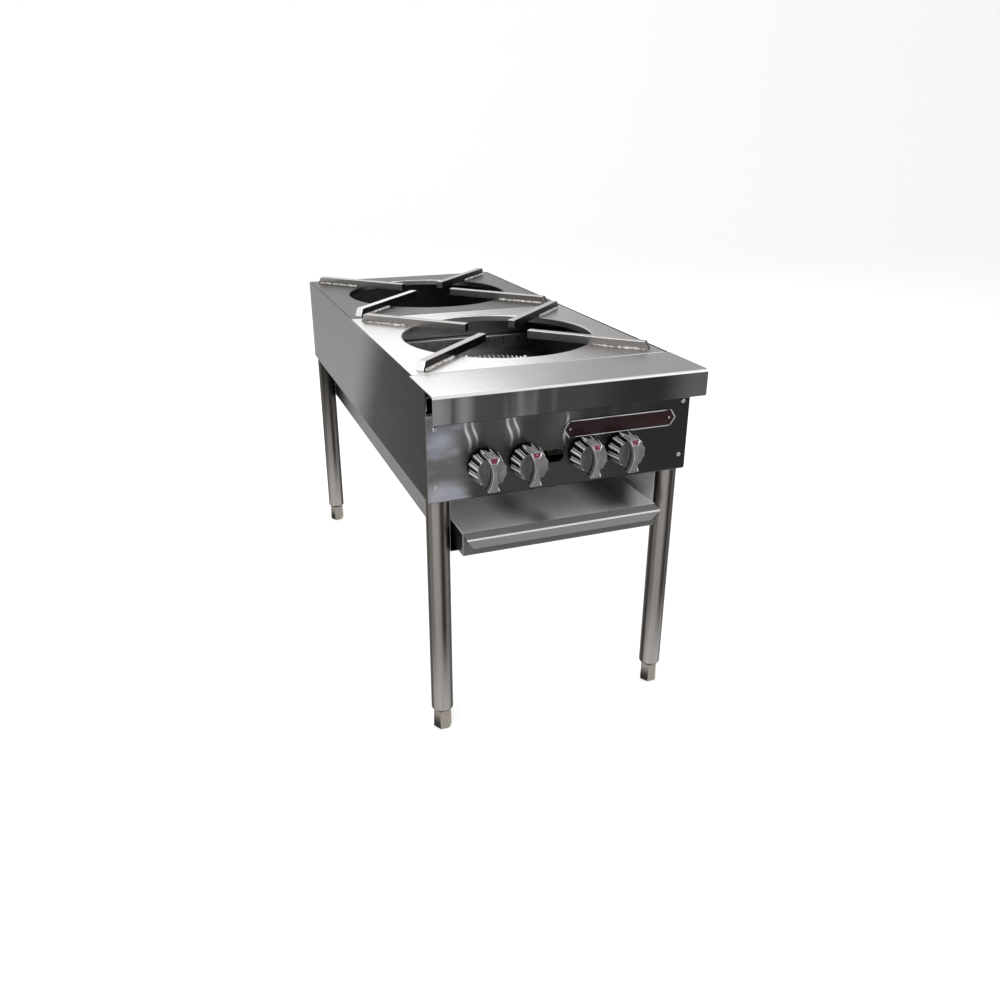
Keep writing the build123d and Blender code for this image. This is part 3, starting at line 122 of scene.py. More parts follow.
class RangeColours(bpy.types.PropertyGroup):
    """The colours of the range's finishes, and of the light and dark that they show"""

    # Painted reflection on the side sheets: lighter towards the back, darker towards the front
    side_lit_rear: colour("Side, rear", "Side sheet towards the back", (0.39, 0.382, 0.375))
    side_shaded_front: colour("Side, front", "Side sheet towards the front", (0.062, 0.06, 0.058))
    # Painted reflections on the control panel: dark in the middle, lighter at the left end, darker
    # at the right end
    panel_mid: colour("Panel", "Middle of the control panel", (0.036, 0.0352, 0.0345))
    panel_left_lit: colour("Panel, left end", "Left end of the control panel", (0.098, 0.096, 0.0955))
    panel_cloud: colour("Panel clouds", "Cloudy light on the panel's left end", (0.23, 0.238, 0.28))
    panel_low: colour("Panel, low", "Light on the panel's lower left", (0.3, 0.297, 0.33))
    panel_haze: colour("Panel haze", "Soft light round the streaks", (0.1, 0.098, 0.096))
    panel_glow: colour("Panel glow", "Lighter patches under the ledge", (0.075, 0.073, 0.072))
    panel_bright: colour("Panel light", "Bright reflections on the panel", (0.46, 0.45, 0.45))
    panel_right_shade: colour("Panel, right end", "Right end of the control panel", (0.02, 0.0195, 0.019))
    # Painted reflections on the ledge's face: lighter at the left and at the right end, darker
    # right of the middle
    ledge_front: colour("Ledge front", "Upright face of the ledge", (0.046, 0.045, 0.045))
    ledge_left_lit: colour("Ledge, left end", "Left end of the ledge's face", (0.055, 0.054, 0.053))
    ledge_right_shade: colour("Ledge, right", "Right part of the ledge's face", (0.022, 0.022, 0.023))
    ledge_end_lit: colour("Ledge, right end", "Right end of the ledge's face", (0.085, 0.082, 0.084))
    ledge_top: colour("Ledge top", "Lit left part of the ledge's top", (0.56, 0.55, 0.545))
    ledge_glow: colour("Ledge light", "Light bands on the ledge's face", (0.19, 0.187, 0.195))
    edge_light: colour("Edge light", "Bright line along a bend", (0.75, 0.74, 0.73))
    deck_bright: colour("Deck, bright", "Deck where it is lit", (0.68, 0.668, 0.66))
    deck_grey: colour("Deck, grey", "Deck away from the light", (0.33, 0.32, 0.316))
    # Painted reflections: the rear plate darker than the front one, and a painted highlight on the
    # collars
    rear_deck: colour("Rear deck", "Rear top plate", (0.1, 0.097, 0.094))
    collar: colour("Collars", "Turned-down edge of the openings", (0.62, 0.61, 0.6))
    bar: colour("Pot bars", "Ground steel bar", (0.27, 0.26, 0.252))
    # Painted light on the bars' upper faces
    bar_top_lit: colour("Bar tops", "Upper faces of the pot bars", (0.4, 0.385, 0.375))
    bar_lit: colour("Bar top, lit", "Top of the rear plate's front left bar", (0.72, 0.71, 0.7))
    bar_shade: colour("Bar shade", "Bar sides turned away from the light", (0.035, 0.033, 0.032))
    weld: colour("Weld", "Weld metal", (0.2, 0.19, 0.178))
    weld_bright: colour("Weld, bright", "Bright spots on the welds", (0.62, 0.6, 0.58))
    leg: colour("Legs", "Polished tube", (0.12, 0.11, 0.1))
    leg_light: colour("Leg light", "Light lines down the legs", (0.2, 0.188, 0.177))
    leg_low: colour("Legs, low", "Light low on the legs", (0.3, 0.287, 0.272))
    leg_shade: colour("Leg shade", "Sides of the legs turned away", (0.03, 0.028, 0.026))
    foot: colour("Feet", "Steel feet", (0.26, 0.237, 0.21))
    inner: colour("Inner steel", "Sheet inside the body", (0.5, 0.49, 0.485))
    # Painted light on the inner sheets low down
    inner_low_lit: colour("Inner steel, low", "Sheet inside the body, low down", (0.9, 0.89, 0.88))
    inner_dark: colour("Inner steel, dark", "Sheet that lies in shade", (0.1, 0.098, 0.097))
    runner: colour("Tray runners", "Tall plates beside the tray", (0.13, 0.126, 0.122))
    # Painted shade: the sheet behind the valves is coloured near black for the shade inside the
    # body
    shield: colour("Heat shield", "Dull sheet behind the valves", (0.012, 0.012, 0.012))
    # Painted light and shade on the drip tray: near white inside, darker at the right side, the
    # ends and under the lip
    tray: colour("Drip tray", "Tray sheet", (0.97, 0.95, 0.94))
    tray_right_shade: colour("Drip tray, dark side", "Right side of the tray", (0.18, 0.175, 0.17))
    tray_shadow: colour("Drip tray, shadow", "Dark reflections on the tray", (0.3, 0.293, 0.287))
    tray_shelf_painted_light: colour("Tray shelf", "Upper face of the tray's lip", (0.21, 0.205, 0.2))
    tray_end_shade: colour("Tray ends", "Short sides of the tray", (0.03, 0.029, 0.028))
    tray_front_shade: colour("Tray front", "Front of the tray under its lip", (0.09, 0.087, 0.084))
    tray_lip_painted_light: colour("Tray lip", "Folded front of the tray", (0.19, 0.184, 0.178))
    chrome: colour("Chrome", "Knobs and cap nuts", (0.97, 0.96, 1.0))
    # Painted reflections in the knobs' chrome: the face, dark lines, lighter patches and the grip's
    # crest
    knob_face: colour("Knob face", "What a knob's face mirrors", (0.12, 0.117, 0.113))
    knob_dark: colour("Knob dark", "Dark lines mirrored in the chrome", (0.02, 0.02, 0.024))
    knob_glow: colour("Knob glow", "Lighter patches on a knob's face", (0.17, 0.165, 0.158))
    crest_reflection: colour("Grip crest", "Front of a knob's grip", (0.16, 0.154, 0.148))
    mark: colour("Knob mark", "Red mark on a knob", (0.13, 0.003, 0.032))
    mark_glare: colour("Mark glare", "Light on the red mark", (0.5, 0.2, 0.3))
    mark_edge: colour("Mark edge", "White edges of the mark", (0.85, 0.85, 0.85))
    mark_edge_worn: colour("Mark edge, worn", "Duller patches on the white", (0.6, 0.6, 0.62))
    plate_rim: colour("Nameplate rim", "Bright rim of the nameplate", (0.5, 0.49, 0.5))
    plate_inset: colour("Nameplate", "Dark red inset of the nameplate", (0.018, 0.0075, 0.009))
    plate_sheen: colour("Nameplate sheen", "Lighter end of the inset", (0.022, 0.005, 0.006))
    iron: colour("Cast iron", "Gas rings", (0.018, 0.0175, 0.017))
    iron_light: colour("Cast iron, light", "Lighter patches on the gas rings", (0.05, 0.046, 0.042))
    tip: colour("Gas tips", "Small gas tips", (0.5, 0.49, 0.47))
    brass: colour("Brass", "Valves and jets", (0.6, 0.42, 0.17))
    # Painted shade: the pilot valves are coloured near black for the shade inside the body
    pilot: colour("Pilot valves", "Dull bodies of the pilot valves", (0.03, 0.03, 0.02))
    pipe: colour("Black pipe", "Gas pipe", (0.022, 0.022, 0.023))
    tube: colour("Gas tube", "Aluminium tube", (0.5, 0.5, 0.5))
    screw: colour("Screws", "Heads of the panel screws", (0.36, 0.355, 0.37))
    floor: colour("Floor", "Studio floor and backdrop", (0.93, 0.93, 0.93))


class RangeSizes(bpy.types.PropertyGroup):
    """The sizes of the small pieces that this script makes"""

    flute_count: count("Knob flutes", "Flutes round a knob", 12)
    flute_depth: length("Flute depth", "Depth of a flute", 0.0024)
    skirt_radius: length("Knob skirt radius", "Radius at the back of a knob", 0.0290)
    skirt_height: length("Knob skirt height", "Upright edge at the back of a knob", 0.0050)
    face_radius: length("Knob face radius", "Radius of the face", 0.0255)
    face_height: length("Knob face height", "Face above the panel", 0.0345)
    knob_gap: length("Knob gap", "Gap behind a knob", 0.0050)
    dish_depth: length("Dish depth", "Depth of the face's dish", 0.0040)
    grip_waist: length("Grip waist", "Thickness of the grip at its waist", 0.0050)
    grip_end_width: length("Grip end width", "Thickness of the grip at its ends", 0.0200)
    grip_height: length("Grip height", "Crest above the panel", 0.0485)
    grip_low: length("Grip low end", "Lower end below the axis", 0.0304)
    grip_high: length("Grip high end", "Upper end above the axis", 0.0273)
    grip_peak: length("Grip peak", "Highest spot of the crest below the axis", 0.0040)
    grip_low_drop: length("Low end drop", "Fall of the crest to its low end", 0.0045)
    grip_high_drop: length("High end drop", "Fall of the crest to its high end", 0.0055)
    grip_edge: length("Grip edge", "Rounding of the grip's edges", 0.0005)
    weld_size: length("Weld size", "Leg of a weld bead", 0.0039)
    weld_ripple: length("Weld ripple", "Length of one ripple", 0.0034)
    outer_tips: count("Outer tips", "Gas tips on an outer ring", 72)
    outer_tip_circle: length("Outer tip circle", "Radius of the outer ring's tips", 0.108)
    inner_tips: count("Inner tips", "Gas tips on an inner ring", 32)
    inner_tip_circle: length("Inner tip circle", "Radius of the inner ring's tips", 0.048)
    tip_height: length("Tip height", "Height of a gas tip over its ring", 0.0108)
    tip_radius: length("Tip radius", "Radius of a gas tip", 0.0024)
    tip_lean: FloatProperty(
        name="Tip lean",
        description="How far a gas tip leans along its circle",
        default=math.radians(35),
        subtype="ANGLE",
        unit="ROTATION",
    )
    thread_pitch: length("Thread pitch", "Pitch of the pipe thread", 0.00181)
    thread_radius: length("Thread radius", "Radius of the pipe under its thread", 0.0130)
    thread_depth: length("Thread depth", "Height of the thread's ridge", 0.00034)
    rim_width: length("Nameplate rim", "Width of the nameplate's bright rim", 0.0029)
    screw_radius: length("Screw head radius", "Radius of a panel screw's head", 0.0040)
    screw_height: length("Screw head height", "Height of a panel screw's head", 0.0022)


def colours():
    """The colours that the scene's panel shows."""
    return bpy.context.scene.range_colours


def sizes():
    """The sizes that the scene's panel shows."""
    return bpy.context.scene.range_sizes


# Surfaces


def smoothstep(value):
    """0 below 0, 1 above 1, and 3v^2 - 2v^3 between."""
    value = np.clip(value, 0.0, 1.0)
    return value * value * (3.0 - 2.0 * value)


def ring_mesh(name, rings, body, material, crease=35.0):
    """A closed surface through rings of points.

    The array holds copies x rings x points x 3. Each ring is joined to the next by quads, and the
    first and last ring of every copy are filled, so nothing is left open.
    """
    rings = np.asarray(rings, float)
    if rings.ndim == 3:
        rings = rings[None]
    copies, layers, points = rings.shape[:3]
    index = np.arange(copies * layers * points).reshape(copies, layers, points)
    after = np.roll(index, -1, axis=2)
    quads = np.stack(
        (index[:, :-1], after[:, :-1], after[:, 1:], index[:, 1:]), axis=-1
    ).reshape(-1, 4)
    place = rings.reshape(-1, 3)
    middle = rings.mean(axis=(1, 2))
    a, b, c, d = (place[quads[:, k]] - np.repeat(middle, len(quads) // copies, 0) for k in range(4))
    volume = np.einsum("ij,ij->", a, np.cross(b, c)) + np.einsum("ij,ij->", a, np.cross(c, d))
    caps = np.concatenate((index[:, 0, ::-1], index[:, -1, :]))
    if volume < 0:
        quads = quads[:, ::-1]
        caps = caps[:, ::-1]
    mesh = bpy.data.meshes.new(name)
    mesh.from_pydata(place.tolist(), [], quads.tolist() + caps.tolist())
    return add_piece(name, mesh, body, material, crease)


def add_piece(name, mesh, body, material, crease):
    """Puts a mesh in the scene, smooth but for creases over the angle, riding on a body."""
    mesh.polygons.foreach_set("use_smooth", np.ones(len(mesh.polygons), bool))
    mesh.set_sharp_from_angle(angle=math.radians(crease))
    mesh.materials.append(material)
    piece = bpy.data.objects.new(name, mesh)
    bpy.context.scene.collection.objects.link(piece)
    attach(piece, body)
    return piece


def outwards(centre, local):
    """Turns (right, up, outward) from a spot on the panel's face into the range's frame."""
    return np.stack(
        (centre[0] + local[..., 0], centre[1] - local[..., 2], centre[2] + local[..., 1]), axis=-1
    )


# Shader groups and materials


def new_group(name, inputs, outputs):
    """An empty shader node group: inputs by name with their defaults, and names of numbers put out.

    Returns the tree, the sockets that bring the inputs and the sockets that take the results.
    """
    tree = bpy.data.node_groups.new(name, "ShaderNodeTree")
    for label, value in inputs.items():
        kind = "NodeSocketFloat" if isinstance(value, float) else "NodeSocketVector"
        socket = tree.interface.new_socket(label, in_out="INPUT", socket_type=kind)
        socket.default_value = value
    for label in outputs:
        tree.interface.new_socket(label, in_out="OUTPUT", socket_type="NodeSocketFloat")
    return tree, tree.nodes.new("NodeGroupInput").outputs, tree.nodes.new("NodeGroupOutput").inputs


def link(tree, source, target):
    """Joins two sockets."""
    tree.links.new(source, target)


def give(tree, target, value):
    """Links a socket to a node's input, or writes a plain value into it."""
    if isinstance(value, bpy.types.NodeSocket):
        link(tree, value, target)
    else:
        target.default_value = value


def own_place(tree, kind="Object"):
    """The piece's own coordinates, or its own normal."""
    return tree.nodes.new("ShaderNodeTexCoord").outputs[kind]


def own_record(tree, name, kind="Fac"):
    """What the mesh keeps under a name at each point, as a number or as a vector."""
    node = tree.nodes.new("ShaderNodeAttribute")
    node.attribute_name = name
    return node.outputs[kind]


def split(tree, vector):
    """The three parts of a vector."""
    node = tree.nodes.new("ShaderNodeSeparateXYZ")
    link(tree, vector, node.inputs[0])
    return tuple(node.outputs)


def maths(tree, operation, first, second=0.0, clamp=False):
    """A Math node on sockets or numbers; returns its result."""
    node = tree.nodes.new("ShaderNodeMath")
    node.operation = operation
    node.use_clamp = clamp
    give(tree, node.inputs[0], first)
    give(tree, node.inputs[1], second)
    return node.outputs[0]


def vector_maths(tree, operation, first, second=(0, 0, 0)):
    """A Vector Math node on sockets or vectors; returns its vector, or the number that it makes."""
    node = tree.nodes.new("ShaderNodeVectorMath")
    node.operation = operation
    give(tree, node.inputs[0], first)
    give(tree, node.inputs[1], second)
    return node.outputs[1 if operation in ("DOT_PRODUCT", "LENGTH") else 0]


def remap(tree, value, low, high, start=0.0, end=1.0, curve="SMOOTHSTEP"):
    """Goes from start to end while the value goes from low to high, and stays there."""
    node = tree.nodes.new("ShaderNodeMapRange")
    node.interpolation_type = curve
    give(tree, node.inputs["Value"], value)
    give(tree, node.inputs["From Min"], low)
    give(tree, node.inputs["From Max"], high)
    give(tree, node.inputs["To Min"], start)
    give(tree, node.inputs["To Max"], end)
    return node.outputs["Result"]


def noise(tree, place, scale, detail):
    """The value of a Noise Texture at a place."""
    node = tree.nodes.new("ShaderNodeTexNoise")
    node.inputs["Scale"].default_value = scale
    node.inputs["Detail"].default_value = detail
    link(tree, place, node.inputs["Vector"])
    return node.outputs[0]


def relief(tree, height, strength, distance):
    """The normal of a Bump node."""
    node = tree.nodes.new("ShaderNodeBump")
    node.inputs["Strength"].default_value = strength
    node.inputs["Distance"].default_value = distance
    link(tree, height, node.inputs["Height"])
    return node.outputs[0]


def blend_colours(tree, factor, first, second, mode="MIX"):
    """A colour Mix node on sockets or colours; returns its result."""
    node = tree.nodes.new("ShaderNodeMix")
    node.data_type = "RGBA"
    node.blend_type = mode
    give(tree, node.inputs[0], factor)
    for position, value in ((6, first), (7, second)):
        known = isinstance(value, bpy.types.NodeSocket)
        give(tree, node.inputs[position], value if known else (*value, 1.0))
    return node.outputs[2]


def brushed_grain_group():
    """Fine lines along one direction: noise squeezed across the grain and drawn out along it."""
    tree, given, result = new_group(
        "Brushed Grain", {"Stretch": (1, 1, 1), "Contrast": 0.2}, ("Tone", "Roughness", "Height")
    )
    place = vector_maths(tree, "MULTIPLY", own_place(tree), given["Stretch"])
    fine = noise(tree, place, 4.0, 3.0)
    both = maths(tree, "ADD", fine, noise(tree, place, 0.6, 2.0))
    change = maths(tree, "MULTIPLY", maths(tree, "SUBTRACT", both, 1.0), given["Contrast"])
    link(tree, maths(tree, "ADD", change, 1.0), result["Tone"])
    rough = maths(tree, "MULTIPLY", fine, 0.22)
    link(tree, maths(tree, "ADD", rough, 0.2), result["Roughness"])
    link(tree, fine, result["Height"])
    return tree


def long_gradient_group():
    """0 to 1 along a direction: the place's dot product with it, between two distances."""
    tree, given, result = new_group(
        "Long Gradient", {"Direction": (0, 1, 0), "Start": 0.0, "End": 1.0}, ("Mask",)
    )
    distance = vector_maths(tree, "DOT_PRODUCT", own_place(tree), given["Direction"])
    link(tree, remap(tree, distance, given["Start"], given["End"]), result["Mask"])
    return tree


def facing_group():
    """How far the surface faces a fixed direction of the range: the normal's dot product."""
    tree, given, result = new_group(
        "Facing", {"Direction": (0, 0, 1), "Low": 0.3, "High": 0.8}, ("Mask",)
    )
    turned = vector_maths(tree, "DOT_PRODUCT", own_place(tree, "Normal"), given["Direction"])
    link(tree, remap(tree, turned, given["Low"], given["High"]), result["Mask"])
    return tree


def soft_patches_group():
    """Large soft patches: low noise on the stretched place, sharpened between two levels."""
    tree, given, result = new_group(
        "Soft Patches", {"Stretch": (1, 1, 1), "Low": 0.4, "High": 0.6}, ("Mask",)
    )
    place = vector_maths(tree, "MULTIPLY", own_place(tree), given["Stretch"])
    level = noise(tree, place, 1.0, 1.5)
    link(tree, remap(tree, level, given["Low"], given["High"]), result["Mask"])
    return tree


def soft_spot_group():
    """1 at a centre and 0 at a distance of 1, measured after the place is divided by the spread."""
    tree, given, result = new_group(
        "Soft Spot", {"Centre": (0, 0, 0), "Spread": (1, 1, 1)}, ("Mask",)
    )
    away = vector_maths(tree, "SUBTRACT", own_place(tree), given["Centre"])
    distance = vector_maths(tree, "LENGTH", vector_maths(tree, "DIVIDE", away, given["Spread"]))
    link(tree, remap(tree, distance, 0.0, 1.0, 1.0, 0.0), result["Mask"])
    return tree


def light_streak_group():
    """A streak of light that sways as it runs up: bright on the curve x = sway x sin(turns x z)."""
    tree, given, result = new_group(
        "Light Streak",
        {
            "Centre": (0, 0, 0),
            "Half Height": 0.03,
            "Half Width": 0.003,
            "Sway": 0.004,
            "Turns": 100.0,
        },
        ("Mask",),
    )
    x, _, z = split(tree, vector_maths(tree, "SUBTRACT", own_place(tree), given["Centre"]))
    wave = maths(tree, "SINE", maths(tree, "MULTIPLY", z, given["Turns"]))
    bend = maths(tree, "MULTIPLY", wave, given["Sway"])
    fades = []
    for away, reach in ((maths(tree, "SUBTRACT", x, bend), "Half Width"), (z, "Half Height")):
        part = maths(tree, "DIVIDE", maths(tree, "ABSOLUTE", away), given[reach])
        fades.append(remap(tree, part, 0.0, 1.0, 1.0, 0.0))
    link(tree, maths(tree, "MULTIPLY", *fades), result["Mask"])
    return tree


def chrome_bands_group():
    """Painted reflections: dark and light bands by the way the surface faces, as polished metal has
    in a room.
    """
    tree, given, result = new_group("Chrome Bands", {"Dark": 0.1, "Bands": 6.0}, ("Tone",))
    x, y, z = split(tree, own_place(tree, "Normal"))
    around = maths(tree, "MULTIPLY", maths(tree, "ARCTAN2", z, x), given["Bands"])
    wave = maths(tree, "SINE", maths(tree, "ADD", around, maths(tree, "MULTIPLY", y, 9.0)))
    bands = remap(tree, wave, -0.75, -0.1, given["Dark"])
    leaning = maths(tree, "SUBTRACT", z, x)
    shade = remap(tree, leaning, -0.8, 0.4, 0.35, curve="LINEAR")
    link(tree, maths(tree, "MULTIPLY", bands, shade), result["Tone"])
    return tree


def flute_light_group():
    """Painted reflections: light and dark down a flute, from the piece's own record of where each
    flute lies.

    The record holds the cosine (-1 on a ridge) and sine of the place round a flute, and how far up
    and left that flute lies. Each flute gets a painted highlight on its ridge and two painted
    bright lines in a band of sines, with dark between; low on the knob, in painted shade, all of it
    turns grey.
    """
    tree, _, result = new_group("Flute Light", {}, ("Tone",))
    cosine, sine, upper_left = split(tree, own_record(tree, "flute", "Vector"))
    ridge = remap(tree, cosine, -0.72, -0.9)
    inside = maths(tree, "ABSOLUTE", maths(tree, "SUBTRACT", sine, 0.72))
    bright = maths(tree, "MAXIMUM", ridge, remap(tree, inside, 0.26, 0.1))
    lit = remap(tree, upper_left, -0.35, 0.25)
    grey = maths(tree, "MULTIPLY", maths(tree, "SUBTRACT", 1.0, lit), 0.13)
    total = maths(tree, "ADD", maths(tree, "MULTIPLY", bright, lit), grey)
    link(tree, maths(tree, "ADD", total, 0.012), result["Tone"])
    return tree


def crest_stripes_group():
    """Painted reflections, dark lines along the grip's flanks: smooth bands about two depths under
    its crest.
    """
    tree, _, result = new_group("Crest Stripes", {}, ("Mask",))
    depth = own_record(tree, "depth")
    lines = []
    for middle, half in ((0.3, 0.13), (0.72, 0.16)):
        away = maths(tree, "ABSOLUTE", maths(tree, "SUBTRACT", depth, middle))
        lines.append(remap(tree, away, half, half * 0.4))
    link(tree, maths(tree, "MAXIMUM", *lines), result["Mask"])
    return tree


def top_mirrored_lines_group():
    """Painted reflections: dark lines over the grip's upper end, from its record of how far right
    each point lies.
    """
    tree, _, result = new_group("Top Mirrored Lines", {}, ("Mask",))
    wave = maths(tree, "SINE", maths(tree, "MULTIPLY", own_record(tree, "right"), 1500.0))
    link(tree, remap(tree, wave, 0.0, 0.4), result["Mask"])
    return tree


GROUP_MAKERS = {
    "Brushed Grain": brushed_grain_group,
    "Long Gradient": long_gradient_group,
    "Facing": facing_group,
    "Soft Patches": soft_patches_group,
    "Soft Spot": soft_spot_group,
    "Light Streak": light_streak_group,
    "Chrome Bands": chrome_bands_group,
    "Flute Light": flute_light_group,
    "Crest Stripes": crest_stripes_group,
    "Top Mirrored Lines": top_mirrored_lines_group,
}


def place_group(tree, name, **values):
    """Places a shared group in a material, with its own values, and returns its outputs."""
    node = tree.nodes.new("ShaderNodeGroup")
    node.node_tree = bpy.data.node_groups.get(name) or GROUP_MAKERS[name]()
    for label, value in values.items():
        node.inputs[label.replace("_", " ").title()].default_value = value
    return node.outputs


def even(amount):
    """The same squeeze of a pattern in all three directions."""
    return (amount, amount, amount)


# A mask is a group's name with its values. A layer is one mask or more, multiplied, and then the
# colour that they let through. A finish's layers start with its first colour alone.


def along(direction, start, end):
    """A mask that grows from 0 to 1 along a direction."""
    return ("Long Gradient", dict(direction=direction, start=start, end=end))


def facing(direction, low, high):
    """A mask by the way the surface faces."""
    return ("Facing", dict(direction=direction, low=low, high=high))


def patches(stretch, low, high):
    """A mask of soft patches."""
    return ("Soft Patches", dict(stretch=stretch, low=low, high=high))


def spot(centre, spread):
    """A mask round a centre."""
    return ("Soft Spot", dict(centre=centre, spread=spread))


def panel_spot(x, height, wide, tall):
    """A mask round a spot of the control panel's face."""
    return spot((x, FACE_Y, height), (wide, 0.1, tall))


def panel_streak(x, height, half_height, half_width, sway):
    """A mask on the control panel's face: an upright streak of painted light that sways."""
    centre = (x, FACE_Y, height)
    values = dict(centre=centre, half_height=half_height, half_width=half_width, sway=sway)
    return ("Light Streak", values)


# Painted reflections: dark lines on the grip's flanks and over its upper end
FLANK_STRIPES = ("Crest Stripes", {})
END_MIRRORED_LINES = ("Top Mirrored Lines", {})


def layered(tree, first, *layers):
    """A colour, or a socket with one, that goes through the layers."""
    shade = first
    for *masks, tone in layers:
        product = None
        for name, values in masks:
            mask = place_group(tree, name, **values)["Mask"]
            product = maths(tree, "MULTIPLY", product, mask) if product else mask
        shade = blend_colours(tree, product, shade, tone)
    return shade


def toned(tree, shade, tone):
    """A colour, or a socket with one, multiplied by a tone that varies round 1."""
    grey = tree.nodes.new("ShaderNodeCombineColor")
    for position in range(3):
        link(tree, tone, grey.inputs[position])
    return blend_colours(tree, 1.0, shade, grey.outputs[0], "MULTIPLY")


def new_material(name, rough, metal=1.0):
    """A material with its shader; returns the material, its tree and the shader's inputs."""
    material = bpy.data.materials.new(name)
    material.use_nodes = True
    tree = material.node_tree
    shader = tree.nodes["Principled BSDF"].inputs
    shader["Metallic"].default_value = metal
    shader["Roughness"].default_value = rough
    return material, tree, shader


def layered_material(name, rough, metal, *layers):
    """A material whose colour goes through the layers; returns what new_material returns."""
    material, tree, shader = new_material(name, rough, metal)
    link(tree, layered(tree, *layers), shader["Base Color"])
    return material, tree, shader


def brushed_steel(name, grain, layers, contrast=0.2, metal=1.0, edge=0.75):
    """Brushed metal whose colour goes through the layers; edge dims it where it is seen aslant."""
    material, tree, shader = new_material(name, 0.32, metal)
    shader["Specular Tint"].default_value = (edge, edge, edge, 1)
    lines = place_group(tree, "Brushed Grain", stretch=grain, contrast=contrast)
    link(tree, toned(tree, layered(tree, *layers), lines["Tone"]), shader["Base Color"])
    link(tree, lines["Roughness"], shader["Roughness"])
    link(tree, relief(tree, lines["Height"], 0.03, 0.0002), shader["Normal"])
    return material


def dress(material, *names):
    """Gives CAD pieces their material."""
    for name in names:
        piece = frame["nodes"][name]
        if not piece.data.materials:
            piece.data.materials.append(material)
        for place in piece.material_slots:
            place.material = material


